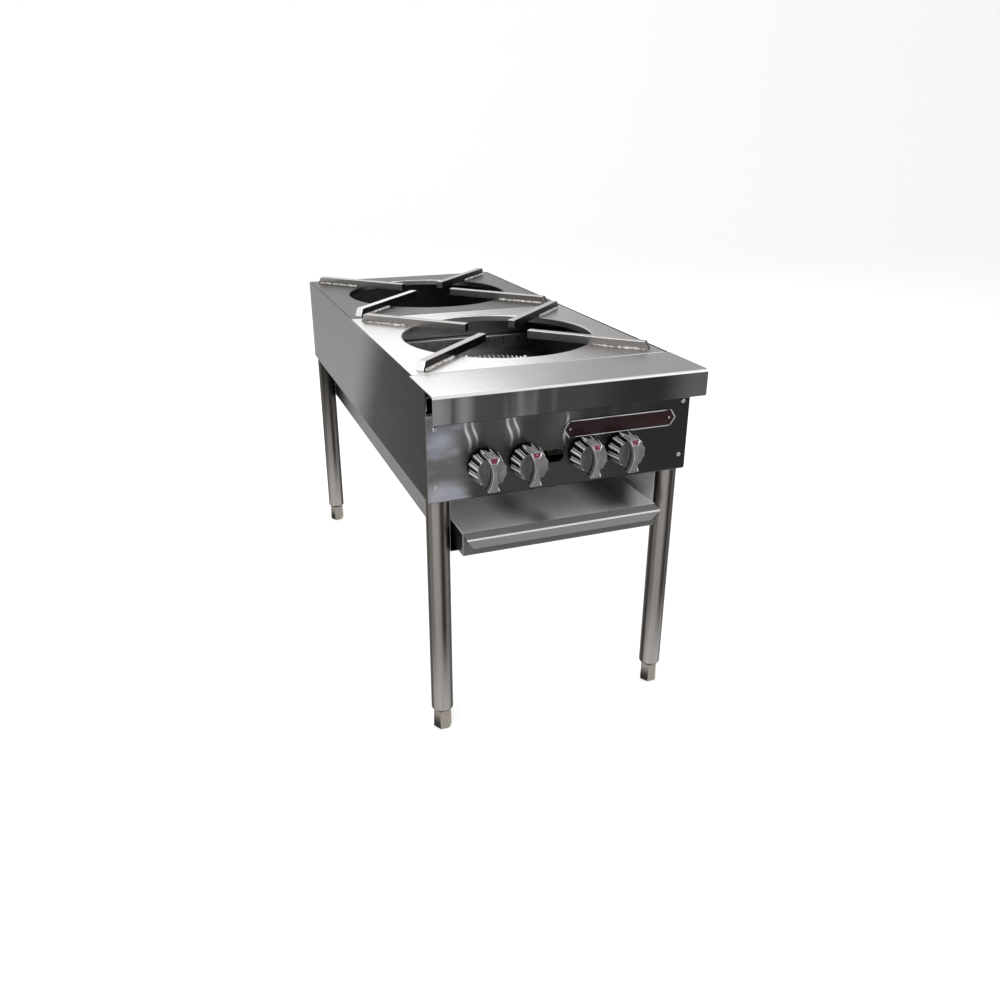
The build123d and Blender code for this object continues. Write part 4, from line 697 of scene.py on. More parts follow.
class STOCKPOT_OT_sheet_metal(bpy.types.Operator):
    """Dresses the folded body: sides, back, control panel, ledge, runners and inner sheets"""

    bl_idname = "stockpot.sheet_metal"
    bl_label = "Sheet Metal"

    def execute(self, context):
        tint = colours()
        dress(self.side_steel(tint), "left_side_panel", "right_side_panel", "back_panel")
        dress(self.panel_steel(tint), "control_panel")
        dress(self.ledge_steel(tint), "front_ledge")
        runner = brushed_steel("runner steel", STEEL_GRAIN_Y, (tint.runner,))
        dress(runner, "left_tray_runner", "tray_stop")
        dress(self.inside_runner_steel(tint), "right_tray_runner")
        dress(
            self.inner_steel(tint),
            "left_deck_rail",
            "right_deck_rail",
            "cross_channel",
            "divider_panel",
            "slotted_strip",
            "leg_plates",
            "burner_bars",
        )
        # Painted shade: the heat shield is coloured near black for the shade inside the body
        dress(brushed_steel("shield steel", STEEL_GRAIN_X, (tint.shield,)), "heat_shield")
        return {"FINISHED"}

    def side_steel(self, tint):
        """Painted reflection: light towards the back, dark towards the front."""
        layers = (
            tint.side_shaded_front,
            (along((0, 1, 0.8), 0.23, 0.46), tint.side_lit_rear),
            (facing(FRONT, 0.6, 0.9), tint.inner_dark),
        )
        return brushed_steel("side steel", STEEL_GRAIN_Y, layers, contrast=0.18, edge=0.42)

    def panel_steel(self, tint):
        """Painted reflections: dark, with clouds of light at the left end and streaks of light over
        the knobs.
        """
        top = DECK_Z - 0.045
        streaks = (
            (-0.1625, 0.547, 0.036, 0.0042, -0.0038),
            (-0.1515, 0.551, 0.026, 0.0032, -0.0040),
            (-0.0935, 0.548, 0.034, 0.0040, -0.0040),
            (-0.0825, 0.554, 0.026, 0.0034, -0.0044),
            (0.0030, 0.540, 0.034, 0.0036, 0.0030),
        )
        layers = (
            tint.panel_mid,
            # Painted reflections: darker towards the right end, lighter at the left end, with
            # patches, clouds, haze and streaks of painted light
            (along((1, 0, 0.35), 0.18, 0.34), tint.panel_right_shade),
            (patches((16, 4, 6), 0.38, 0.62), panel_spot(-0.02, top, 0.22, 0.09), tint.panel_glow),
            (along(LEFT, 0.145, 0.185), tint.panel_left_lit),
            (panel_spot(-0.206, 0.542, 0.038, 0.03), tint.panel_cloud),
            (panel_spot(-0.205, 0.452, 0.05, 0.035), tint.panel_low),
            (panel_spot(-0.17, 0.437, 0.02, 0.016), tint.panel_low),
            (along(LEFT, 0.155, 0.19), patches((16, 4, 30), 0.46, 0.66), tint.panel_cloud),
            (panel_spot(-0.157, 0.55, 0.022, 0.045), tint.panel_haze),
            (panel_spot(-0.088, 0.55, 0.02, 0.04), tint.panel_haze),
            *((panel_streak(*streak), tint.panel_bright) for streak in streaks),
            (panel_spot(0.075, top + 0.002, 0.02, 0.006), tint.panel_bright),
        )
        return brushed_steel("panel steel", STEEL_GRAIN_X, layers)

    def ledge_steel(self, tint):
        """Painted light: light bands on the front face, a lit top and a bright line along the bend
        between.
        """
        layers = (
            tint.ledge_front,
            # Painted light at the left end and the right end, painted shade right of the middle
            (along(LEFT, 0.03, 0.2), tint.ledge_left_lit),
            (along(RIGHT, 0.0, 0.1), tint.ledge_right_shade),
            (along(RIGHT, 0.14, 0.21), tint.ledge_end_lit),
            (spot((-0.182, FACE_Y, 0.6), (0.022, 0.2, 0.2)), tint.ledge_glow),
            (patches((24, 1, 2), 0.5, 0.68), along(LEFT, -0.12, 0.2), tint.ledge_glow),
            (facing(UP, 0.75, 0.97), tint.deck_grey),
            (facing(UP, 0.75, 0.97), along(LEFT, 0.05, 0.21), tint.ledge_top),
            (facing((0, -0.7, 0.7), 0.86, 0.97), tint.edge_light),
        )
        return brushed_steel("ledge steel", STEEL_GRAIN_X, layers)

    def inside_runner_steel(self, tint):
        """The right runner: painted light on the side that shows past the tray, dark outside."""
        layers = (tint.inner_low_lit, (facing(RIGHT, 0.5, 0.9), tint.runner))
        return brushed_steel("runner inside steel", STEEL_GRAIN_Y, layers, metal=0.4)

    def inner_steel(self, tint):
        """Painted light low down, and painted shade to the right and behind the seam of the two
        plates.
        """
        layers = (
            tint.inner,
            (along(DOWN, -0.53, -0.49), tint.inner_low_lit),
            (along(RIGHT, 0.07, 0.15), tint.inner_dark),
            (along(BACK, PLATE_SPLIT + 0.03, PLATE_SPLIT + 0.06), tint.inner_dark),
        )
        return brushed_steel("inner steel", STEEL_GRAIN_X, layers, contrast=0.15)


class STOCKPOT_OT_decks(bpy.types.Operator):
    """Dresses the two lift-out top plates"""

    bl_idname = "stockpot.decks"
    bl_label = "Top Plates"

    def execute(self, context):
        tint = colours()
        # Painted highlight on the collar faces that turn to the front
        collar = (facing(FRONT, 0.6, 0.9), tint.collar)
        layers = (tint.deck_bright, (along(RIGHT, -0.13, 0.14), tint.deck_grey), collar)
        front = brushed_steel("front deck steel", STEEL_GRAIN_X, layers, contrast=0.06)
        dress(front, "front_top_plate")
        # Painted reflection: the rear plate is coloured darker than the front one
        layers = (tint.rear_deck, collar)
        rear = brushed_steel("rear deck steel", STEEL_GRAIN_X, layers, contrast=0.08)
        dress(rear, "rear_top_plate")
        return {"FINISHED"}


def bar_rows(front, back):
    """For each bar of a plate: the opening's centre, the bar's direction and its reach."""
    centre = (front + back) / 2
    rows = []
    for x in (BAR_INSET - BODY_HALF, BODY_HALF - BAR_INSET):
        for y in (front + BAR_INSET, back - BAR_INSET):
            way = np.array((x, y - centre))
            reach = float(np.hypot(*way))
            rows.append((centre, way / reach, reach))
    return rows


class STOCKPOT_OT_pot_bars(bpy.types.Operator):
    """Dresses the pot bars and lays the rippled welds along their feet"""

    bl_idname = "stockpot.pot_bars"
    bl_label = "Pot Bars and Welds"

    def execute(self, context):
        tint = colours()
        upper = facing(UP, 0.75, 0.95)
        # Painted light and shade on the bars: shaded sides, lit tops, one brighter lit top and
        # bright edges
        layers = (
            tint.bar,
            (facing((0.7, -0.7, 0), 0.6, 0.9), tint.bar_shade),
            (upper, tint.bar_top_lit),
            (
                upper,
                along(BACK, PLATE_SPLIT, PLATE_SPLIT + 0.004),
                along((-1, -1, 0), -0.22, -0.18),
                tint.bar_lit,
            ),
            (facing((-0.55, -0.55, 0.63), 0.8, 0.9), tint.edge_light),
        )
        bar = brushed_steel("bar steel", even(90.0), layers, contrast=0.12)
        dress(bar, "front_pot_bars", "rear_pot_bars")
        # Bright spots in patches over the weld metal
        weld_bright_spots = (patches(even(160), 0.35, 0.7), tint.weld_bright)
        weld = layered_material("weld metal", 0.42, 1.0, tint.weld, weld_bright_spots)[0]
        for name, front, back in (
            ("front", LEDGE_BACK, PLATE_SPLIT),
            ("rear", PLATE_SPLIT, BODY_BACK),
        ):
            beads = [self.bead(*row, side) for row in bar_rows(front, back) for side in (-1, 1)]
            piece = ring_mesh(f"{name}_weld_ripples", beads, f"{name}_deck", weld, 50)
            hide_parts(f"{name}_weld_beads")
        return {"FINISHED"}

    def bead(self, centre, way, reach, side):
        """A bead: a quarter disc in the corner between bar and deck, its radius rippling along it.

        Radius = size x ends x (0.84 + 0.12 x |cos(pi x distance / ripple)| + 0.04 x a slow sine),
        where the ends fade to almost nothing over 3 mm and the sine makes no two beads alike.
        """
        start, end = WELD_START, reach - WELD_END_GAP
        distance = np.linspace(start, end, 150)
        size, ripple = sizes().weld_size, sizes().weld_ripple
        ends = np.sqrt(np.clip(np.minimum(distance - start, end - distance) / 0.003, 0.0004, 1))
        wander = np.sin((distance * 700 + way[0] * 5 + way[1] * 9 + side) * 0.4)
        wave = 0.84 + 0.12 * np.abs(np.cos(np.pi * distance / ripple)) + 0.04 * wander
        radius = (size * ends * wave)[:, None]
        angle = np.linspace(0, np.pi / 2, 7)
        out = np.concatenate(([0.0], np.cos(angle)))[None] * radius
        up = np.concatenate(([0.0], np.sin(angle)))[None] * radius
        across = np.array((-way[1], way[0])) * side
        foot = across * BAR_SIZE / 2
        x = way[0] * distance[:, None] + foot[0] + across[0] * out
        y = centre + way[1] * distance[:, None] + foot[1] + across[1] * out
        return np.stack((x, y, DECK_Z + up), axis=-1)


class STOCKPOT_OT_burners(bpy.types.Operator):
    """Dresses the gas rings and stands the slanted gas tips on them"""

    bl_idname = "stockpot.burners"
    bl_label = "Burners"

    def execute(self, context):
        tint, size = colours(), sizes()
        rust = (patches(even(60), 0.35, 0.7), tint.iron_light)
        iron, tree, shader = layered_material("ring iron", 0.62, 0.6, tint.iron, rust)
        grit = noise(tree, own_place(tree), 900.0, 2.0)
        link(tree, relief(tree, grit, 0.35, 0.0004), shader["Normal"])
        tip = brushed_steel("tip metal", (200.0, 200.0, 60.0), (tint.tip,))
        cap = brushed_steel("cap nut steel", even(80.0), (tint.chrome,), contrast=0.1)
        dress(cap, "burner_cap_nuts")
        dress(brushed_steel("shutter steel", even(80.0), (tint.tube,)), "air_shutters")
        for end in ("front", "rear"):
            centre = middle_of(f"{end}_burner_tips")
            crowns = []
            for ring, radius, number in (
                ("outer", size.outer_tip_circle, size.outer_tips),
                ("inner", size.inner_tip_circle, size.inner_tips),
            ):
                burner = f"{end}_{ring}_burner"
                dress(iron, burner)
                crowns.append(self.tips(centre, radius, number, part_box(burner)[1].z))
            tips = np.concatenate(crowns)
            piece = ring_mesh(f"{end}_gas_tips", tips, "frame", tip, 30)
            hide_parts(f"{end}_burner_tips")
        return {"FINISHED"}

    def tips(self, centre, radius, number, top):
        """Small round tips on a circle, each leaning along it, with a collar and a bore.

        A profile of radius against height is carried up a slanted axis: its foot stands on the gas
        ring, and each ring of eight points is shifted along the circle by height x tan(lean).
        """
        size = sizes()
        widths = np.array((1.25, 1.25, 1.0, 1.0, 0.85, 0.5, 0.45)) * size.tip_radius
        heights = np.array((0.0, 0.22, 0.3, 0.93, 1.0, 1.0, 0.8)) * size.tip_height
        spread, up = widths[:, None], heights[:, None]
        turn = np.linspace(0, 2 * np.pi, 8, endpoint=False)
        out = spread * np.cos(turn)
        forth = spread * np.sin(turn) + up * math.tan(size.tip_lean)
        stand = np.linspace(0, 2 * np.pi, number, endpoint=False)[:, None, None]
        x = centre[0] + (radius + out) * np.cos(stand) - forth * np.sin(stand)
        y = centre[1] + (radius + out) * np.sin(stand) + forth * np.cos(stand)
        return np.stack((x, y, top + np.broadcast_to(up, x.shape)), axis=-1)


class STOCKPOT_OT_knobs(bpy.types.Operator):
    """Makes the fluted chrome knobs with their grip ridges and red marks"""

    bl_idname = "stockpot.knobs"
    bl_label = "Knobs"

    def execute(self, context):
        tint = colours()
        glare = (patches(even(260), 0.6, 0.72), tint.mark_glare)
        wear = (patches(even(300), 0.3, 0.8), tint.mark_edge_worn)
        red = layered_material("mark red", 0.3, 0.0, tint.mark, glare)[0]
        white = layered_material("mark white", 0.35, 0.0, tint.mark_edge, wear)[0]
        edge = self.mark(wide_end=0.0072, narrow_end=0.0046, start=0.0176, stand=0.00022)
        field = self.mark(wide_end=0.0066, narrow_end=0.0041, start=0.0181, stand=0.00040)
        parts = (
            ("body", self.body(), self.body_chrome(tint), 50),
            ("grip", self.grip(), self.grip_chrome(tint), 60),
            ("mark_edge", edge, white, 35),
            ("mark", field, red, 35),
        )
        for number in range(1, 5):
            knob = f"knob_{number}"
            stem = middle_of(f"stem_{number}")
            pieces = {}
            for part, rings, material, crease in parts:
                rings = outwards((stem[0], FACE_Y, stem[2]), rings)
                pieces[part] = ring_mesh(
                    f"{knob}_{part}", rings, knob, material, crease
                )
            self.record_flutes(pieces["body"])
            self.record_depth(pieces["grip"])
            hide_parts(knob)
        return {"FINISHED"}

    def body_chrome(self, tint):
        """Painted reflections: light and dark down every flute, a bright rim and a cloudy face."""
        material, tree, shader = new_material("knob chrome", 0.1, 0.3)
        flutes = place_group(tree, "Flute Light")
        clouds = (patches((70, 70, 45), 0.38, 0.66), tint.knob_glow)
        shade = layered(
            tree,
            toned(tree, tint.chrome, flutes["Tone"]),
            (facing(FRONT, 0.25, 0.5), tint.chrome),
            (facing(FRONT, 0.82, 0.93), layered(tree, tint.knob_face, clouds)),
        )
        link(tree, shade, shader["Base Color"])
        return material

    def grip_chrome(self, tint):
        """Painted reflections: dark lines along the flanks and over the upper end, and a bright
        edge round the crest.
        """
        material, tree, shader = new_material("grip chrome", 0.1, 0.3)
        bands = place_group(tree, "Chrome Bands", dark=0.08)
        clouds = (patches(even(60), 0.35, 0.7), tint.crest_reflection)
        upper_end = layered(tree, tint.chrome, (END_MIRRORED_LINES, tint.knob_dark))
        left_flank = layered(tree, tint.knob_glow, (FLANK_STRIPES, tint.knob_dark))
        shade = layered(
            tree,
            toned(tree, tint.chrome, bands["Tone"]),
            (facing(UP, 0.3, 0.6), upper_end),
            (facing(LEFT, 0.4, 0.8), left_flank),
            (facing(FRONT, 0.3, 0.5), tint.chrome),
            (facing(FRONT, 0.82, 0.93), layered(tree, tint.knob_face, clouds)),
        )
        link(tree, shade, shader["Base Color"])
        return material

    def record_flutes(self, piece):
        """Keeps, at every point of the body, the place round its flute and round the knob.

        The values are cos(flutes x turn), sin(flutes x turn) and sin(turn) - 0.6 x cos(turn).
        """
        around = sizes().flute_count * FLUTE_POINTS
        turn = np.arange(len(piece.data.vertices)) % around / around * 2 * np.pi
        phase = turn * sizes().flute_count
        upper_left = np.sin(turn) - 0.6 * np.cos(turn)
        values = np.stack((np.cos(phase), np.sin(phase), upper_left), axis=-1)
        record = piece.data.attributes.new("flute", "FLOAT_VECTOR", "POINT")
        record.data.foreach_set("vector", values.ravel())

    def record_depth(self, piece):
        """Keeps how far down from the crest each point lies, from 0 to 1, and how far right."""
        right = self.plan()[:, 0]
        layers = len(piece.data.vertices) // len(right)
        depth = np.clip(1 - np.arange(layers) / GRIP_WALL_STEPS, 0, 1)
        for name, values in (
            ("depth", np.repeat(depth, len(right))),
            ("right", np.tile(right, layers)),
        ):
            record = piece.data.attributes.new(name, "FLOAT", "POINT")
            record.data.foreach_set("value", values)

    def groove(self, turn):
        """1 in a flute's middle and 0 on the ridge beside it.

        The value is 1 - (1 - |cos(flutes x angle / 2)|)^1.6.
        """
        wave = np.abs(np.cos(turn * sizes().flute_count / 2))
        return 1 - (1 - wave) ** 1.6

    def body(self):
        """A turned profile of radius against height, dished in front, with broad flutes.

        Radius = profile - depth x weight x groove, where the weight falls to nothing at the rim.
        """
        size = sizes()
        gap, skirt, face = size.knob_gap, size.skirt_radius, size.face_radius
        shelf, top, dish = gap + size.skirt_height, size.face_height, size.dish_depth
        hub = 0.0045
        foot = np.array(
            ((hub, gap, 0), (skirt - 0.001, gap, 1), (skirt - 0.0002, gap + 0.0004, 1))
        )
        edge = np.array(((skirt, gap + 0.0012, 1), (skirt, shelf - 0.0004, 1)))
        share = np.linspace(0, 1, 9)
        taper = np.stack(
            (skirt + (face - skirt) * share, shelf + (top - 0.0016 - shelf) * share, share * 0 + 1),
            axis=-1,
        )
        rim = np.array(
            (
                (face - 0.0001, top - 0.0011, 0.8),
                (face - 0.0005, top - 0.0005, 0.45),
                (face - 0.0011, top - 0.0001, 0.2),
                (face - 0.0018, top, 0.05),
                (face - 0.0024, top - 0.0003, 0.0),
            )
        )
        bowl = np.linspace(face - 0.0030, 0.0004, 9)
        deep = top - 0.0003 - (dish - 0.0003) * (1 - (bowl / (face - 0.0026)) ** 2)
        dished = np.stack((bowl, deep, bowl * 0), axis=-1)
        outline = np.concatenate((foot, edge, taper, rim, dished))
        profile, height, weight = outline.T[:, :, None]
        turn = np.linspace(0, 2 * np.pi, size.flute_count * FLUTE_POINTS, endpoint=False)
        radius = profile - size.flute_depth * weight * self.groove(turn)
        height = np.broadcast_to(height, radius.shape)
        return np.stack((radius * np.cos(turn), radius * np.sin(turn), height), axis=-1)

    def crest(self, up):
        """The grip's height over the panel: two parabolas that fall from its peak to both ends."""
        size = sizes()
        away = up + size.grip_peak
        high = size.grip_high_drop * (away / (size.grip_high + size.grip_peak)) ** 2
        low = size.grip_low_drop * (away / (size.grip_low - size.grip_peak)) ** 2
        return size.grip_height - np.where(away > 0, high, low)

    def plan(self):
        """The grip seen from the front: hollow sides drawn in to the waist, and two round ends.

        Half width = waist + (end - waist) x (up / corner)^2 along the sides; the ends are arcs
        about the knob's axis, with the body's flutes running over them.
        """
        size = sizes()
        half, waist = size.grip_end_width / 2, size.grip_waist / 2
        corner_high = math.sqrt(size.grip_high**2 - half**2)
        corner_low = math.sqrt(size.grip_low**2 - half**2)
        up = np.concatenate(
            (
                -corner_low * np.cos(np.linspace(0, np.pi / 2, 24, endpoint=False)),
                corner_high * np.sin(np.linspace(0, np.pi / 2, 24, endpoint=False)),
            )
        )
        span = np.where(up < 0, corner_low, corner_high)
        right = np.stack((waist + (half - waist) * (up / span) ** 2, up), axis=-1)
        sweep_high = np.linspace(math.atan2(corner_high, half), math.atan2(corner_high, -half), 22)
        sweep_low = np.linspace(math.atan2(-corner_low, -half), math.atan2(-corner_low, half), 22)
        ends = []
        for sweep, reach in ((sweep_high, size.grip_high), (sweep_low[:-1], size.grip_low)):
            fade = np.minimum(np.arange(len(sweep)), np.arange(len(sweep))[::-1]) / 2
            dent = 0.0011 * self.groove(sweep) * np.clip(fade, 0, 1)
            out = reach - dent
            ends.append(np.stack((out * np.cos(sweep), out * np.sin(sweep)), axis=-1))
        left = right[:0:-1] * np.array((-1, 1))
        return np.concatenate((right, ends[0], left, ends[1]))

    def grip(self):
        """The plan carried out from the dish to the crest, with rounded edges and a sunk top.

        Each ring is the plan drawn in by the edge's arc and set at its share of the crest's height.
        Towards the panel, what lies past the heel's start is drawn in by up to half.
        """
        size = sizes()
        plan = self.plan()
        top = self.crest(plan[:, 1])
        floor, edge = 0.0100, size.grip_edge
        heel_start, lean_top, lean_reach = 0.0205, 0.0440, 0.0340
        heel = np.clip(-plan[:, 1] - heel_start, 0, None)
        rings = []
        for share in np.linspace(0, 1, GRIP_WALL_STEPS + 1):
            height = floor + (top - edge - floor) * share
            lean = np.clip((lean_top - height) / lean_reach, 0, 1) / 2
            rings.append(np.stack((plan[:, 0], plan[:, 1] + heel * lean, height), axis=-1))
        for angle in np.linspace(0.3, np.pi / 2, 5):
            inwards, sink = edge * (1 - math.cos(angle)), edge * (1 - math.sin(angle))
            rings.append(self.drawn_in(plan, inwards, top - sink))
        for inwards, sink in ((0.0009, 0.00004), (0.0014, 0.00010), (0.0022, 0.00014)):
            rings.append(self.drawn_in(plan, inwards, top - sink))
        return np.array(rings)

    def drawn_in(self, plan, inwards, height):
        """The plan moved inwards by a distance, without crossing its own middle."""
        wide = np.maximum(np.abs(plan[:, 0]), 1e-6)
        keep = np.clip(1 - inwards / wide, 0.06, 1)
        long = 1 - inwards / sizes().grip_low
        return np.stack((plan[:, 0] * keep, plan[:, 1] * long, height), axis=-1)

    def mark(self, wide_end, narrow_end, start, stand):
        """A thin shield on the crest that narrows downwards, its half width running linearly."""
        up = np.linspace(start, sizes().grip_high - 0.0016, 10)[:, None]
        share = (up - start) / (up[-1] - start)
        half = narrow_end + (wide_end - narrow_end) * share
        sink = -0.0012
        corner = np.array(((-1, sink), (1, sink), (1, stand), (-1, stand)))
        x = half * corner[None, :, 0]
        out = self.crest(up) + corner[None, :, 1]
        return np.stack((x, up + corner[None, :, 0] * 0, out), axis=-1)


class STOCKPOT_OT_nameplate(bpy.types.Operator):
    """Makes the bare nameplate: a bright rim round a dark red inset"""

    bl_idname = "stockpot.nameplate"
    bl_label = "Nameplate"

    def execute(self, context):
        rim, inset = self.rim_chrome(colours()), self.inset_red(colours())
        low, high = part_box("nameplate")
        middle = middle_of("nameplate")
        middle[1] = FACE_Y
        half = ((high.x - low.x) / 2, (high.z - low.z) / 2)
        deep, rim_width = FACE_Y - low.y, sizes().rim_width
        steps = (
            (0.0, 0.0),
            (0.0, deep * 0.6),
            (0.0006, deep * 0.9),
            (0.0014, deep),
            (0.0024, deep * 0.92),
            (0.0028, deep * 0.6),
            (rim_width, deep * 0.3),
        )
        rings = outwards(middle, self.bar(half, steps))
        piece = ring_mesh("nameplate_rim", rings, "frame", rim, 30)
        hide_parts("nameplate")
        steps = ((rim_width, deep * 0.2), (rim_width, deep * 0.62), (0.0036, deep * 0.66))
        rings = outwards(middle, self.bar(half, steps))
        ring_mesh("nameplate_inset", rings, "frame", inset, 30)
        stud_radius, stud_height, bed = 0.0021, 0.0013, deep * 0.6
        stud = dome(stud_radius, bed, bed + stud_height, 20)
        studs = [outwards(middle + np.array((x, 0, 0)), stud) for x in (-STUD_X, STUD_X)]
        ring_mesh("nameplate_fixings", studs, "frame", rim, 50)
        return {"FINISHED"}

    def rim_chrome(self, tint):
        """Bright metal with painted reflections in bands by the way it faces."""
        material, tree, shader = new_material("plate rim chrome", 0.12)
        bands = place_group(tree, "Chrome Bands", dark=0.12)
        link(tree, toned(tree, tint.plate_rim, bands["Tone"]), shader["Base Color"])
        return material

    def inset_red(self, tint):
        """Dark red enamel that is a little lighter towards the right."""
        sheen = (along((1, 0, 0.6), 0.28, 0.5), tint.plate_sheen)
        material, _, shader = layered_material("plate red", 0.25, 0.0, tint.plate_inset, sheen)
        shader["Specular IOR Level"].default_value = 0.12
        return material

    def bar(self, half, steps):
        """A bar pointed at both ends, once for each step's inset and height over the panel.

        Each side is drawn in by the inset, and has ten points at even shares of its length.
        """
        half_length, half_height = half
        slope = math.hypot(PLATE_POINT, half_height) / half_height
        shoulder_draw = 0.45  # how far a shoulder comes in, as a share of the inset
        share = np.linspace(0, 1, 10, endpoint=False)[None, :, None]
        rings = []
        for inset, height in steps:
            point = half_length - inset * slope
            shoulder = half_length - PLATE_POINT - inset * shoulder_draw
            high = half_height - inset
            upper = ((point, 0), (shoulder, high), (-shoulder, high))
            corners = np.array(upper + tuple((-x, -y) for x, y in upper))
            onward = np.roll(corners, -1, axis=0) - corners
            flat = (corners[:, None] + onward[:, None] * share).reshape(-1, 2)
            rings.append(np.concatenate((flat, np.full((len(flat), 1), height)), axis=1))
        return np.array(rings)


def dome(radius, low, high, points):
    """A domed head: quarter ellipses from its rim to its crown, over a short upright edge."""
    angle = np.linspace(0, np.pi / 2 * 0.97, 7)
    edge = low + (high - low) * 0.25
    reach = np.concatenate(([radius], radius * np.cos(angle)))
    rise = np.concatenate(([low], edge + (high - edge) * np.sin(angle)))
    turn = np.linspace(0, 2 * np.pi, points, endpoint=False)
    x = reach[:, None] * np.cos(turn)
    y = reach[:, None] * np.sin(turn)
    return np.stack((x, y, np.repeat(rise[:, None], points, axis=1)), axis=-1)


class STOCKPOT_OT_screws(bpy.types.Operator):
    """Makes the domed panel screws with their cross recesses"""

    bl_idname = "stockpot.screws"
    bl_label = "Panel Screws"

    def execute(self, context):
        bright = brushed_steel("screw steel", even(120.0), (colours().screw,), contrast=0.3)
        low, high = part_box("panel_screws")
        radius = sizes().screw_radius
        head = self.head(radius, sizes().screw_height)
        heads = [
            outwards((x, FACE_Y, z), head)
            for x in (low.x + radius, high.x - radius)
            for z in (low.z + radius, high.z - radius)
        ]
        piece = ring_mesh("panel_screw_heads", heads, "frame", bright, 40)
        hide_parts("panel_screws")
        dress(bright, "leg_bolts")
        return {"FINISHED"}

    def head(self, radius, tall):
        """A dome whose crown is pressed in along a cross.

        Height = dome - depth x (1 - smooth step of the distance to the nearer arm of the cross).
        """
        turn = np.linspace(0, 2 * np.pi, 40, endpoint=False)
        out = np.concatenate(([1.0], np.linspace(1.0, 0.02, 14)))
        level = tall * (0.22 + 0.78 * np.sqrt(np.clip(1 - out**2, 0, 1)))
        level[0] = -0.0004
        x = radius * out[:, None] * np.cos(turn)
        y = radius * out[:, None] * np.sin(turn)
        arm_half, recess = 0.00055, 0.0010
        near = np.minimum(np.abs(x), np.abs(y)) / arm_half
        arm = (1 - smoothstep(near)) * (1 - smoothstep((out[:, None] - 0.5) / 0.12))
        return np.stack((x, y, level[:, None] - recess * arm), axis=-1)


class STOCKPOT_OT_legs(bpy.types.Operator):
    """Dresses the tube legs and their screw feet"""

    bl_idname = "stockpot.legs"
    bl_label = "Legs and Feet"

    def execute(self, context):
        leg, foot = self.leg_steel(colours()), self.foot_steel(colours())
        for corner in ("front_left", "front_right", "rear_left", "rear_right"):
            dress(leg, f"{corner}_leg")
            dress(foot, f"{corner}_foot")
        return {"FINISHED"}

    def leg_steel(self, tint):
        """Painted light and dark lines down the tube, shade behind, light low down and a shaded
        lower rim.
        """
        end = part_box("front_left_leg")[0].z
        ahead = (0.1, -0.995, 0)
        layers = (
            tint.leg,
            (facing((-0.476, -0.882, 0), 0.94, 0.985), tint.leg_light),
            (facing(ahead, 0.975, 0.995), tint.leg_shade),
            (facing((0.86, -0.51, 0), 0.9, 0.97), tint.leg_shade),
            (facing((-0.99, 0, 0), 0.86, 0.97), tint.leg_shade),
            (along(RIGHT, 0.0, 0.1), facing((0.72, -0.69, 0), 0.84, 0.95), tint.leg_shade),
            (along(BACK, 0.2, 0.4), along(UP, 0.15, 0.42), facing(ahead, 0.2, 0.6), tint.leg_shade),
            (along(DOWN, -0.22, -0.03), facing((-0.29, -0.96, 0), 0.5, 0.85), tint.leg_low),
            (spot((0, 0, end + 0.0005), (10, 10, 0.0035)), tint.leg_shade),
        )
        return brushed_steel("leg steel", STEEL_GRAIN_Z, layers, contrast=0.4)

    def foot_steel(self, tint):
        """Painted shade: the facet to the left darkens towards the floor."""
        left = facing((-0.87, -0.5, 0), 0.8, 0.95)
        layers = (tint.foot, (along(DOWN, -0.04, -0.01), left, tint.leg_shade))
        return brushed_steel("foot steel", (60.0, 60.0, 200.0), layers, contrast=0.3)


class STOCKPOT_OT_tray(bpy.types.Operator):
    """Dresses the drip tray with painted light and shade"""

    bl_idname = "stockpot.tray"
    bl_label = "Drip Tray"

    def execute(self, context):
        tint = colours()
        lip = -FACE_Y
        past_wall = along(FRONT, lip + 0.0037, lip + 0.0046)
        # Painted light and shade: a near-white sheet, painted shadows, a shaded right side and
        # ends, painted shade under the lip, painted tones on the lip and its shelf, a highlight
        # along the fold
        layers = (
            tint.tray,
            (spot((-0.03, FACE_Y + 0.17, 0.345), (0.05, 0.12, 0.1)), tint.tray_shadow),
            (spot((0.0, FACE_Y + 0.08, 0.345), (0.035, 0.08, 0.1)), tint.tray_shadow),
            (along(RIGHT, 0.09, 0.16), along(BACK, FACE_Y + 0.04, FACE_Y + 0.12), tint.tray_right_shade),
            (facing(LEFT, 0.6, 0.9), along(LEFT, 0.1, 0.17), tint.tray_end_shade),
            (past_wall, tint.tray_front_shade),
            (along(FRONT, lip + 0.006, lip + 0.012), tint.tray_lip_painted_light),
            (past_wall, facing(UP, 0.85, 0.95), tint.tray_shelf_painted_light),
            (
                along(FRONT, lip + 0.020, lip + 0.023),
                facing((0, -0.806, 0.592), 0.76, 0.86),
                tint.edge_light,
            ),
        )
        dress(brushed_steel("tray steel", STEEL_GRAIN_X, layers, metal=0.0), "drip_tray")
        return {"FINISHED"}


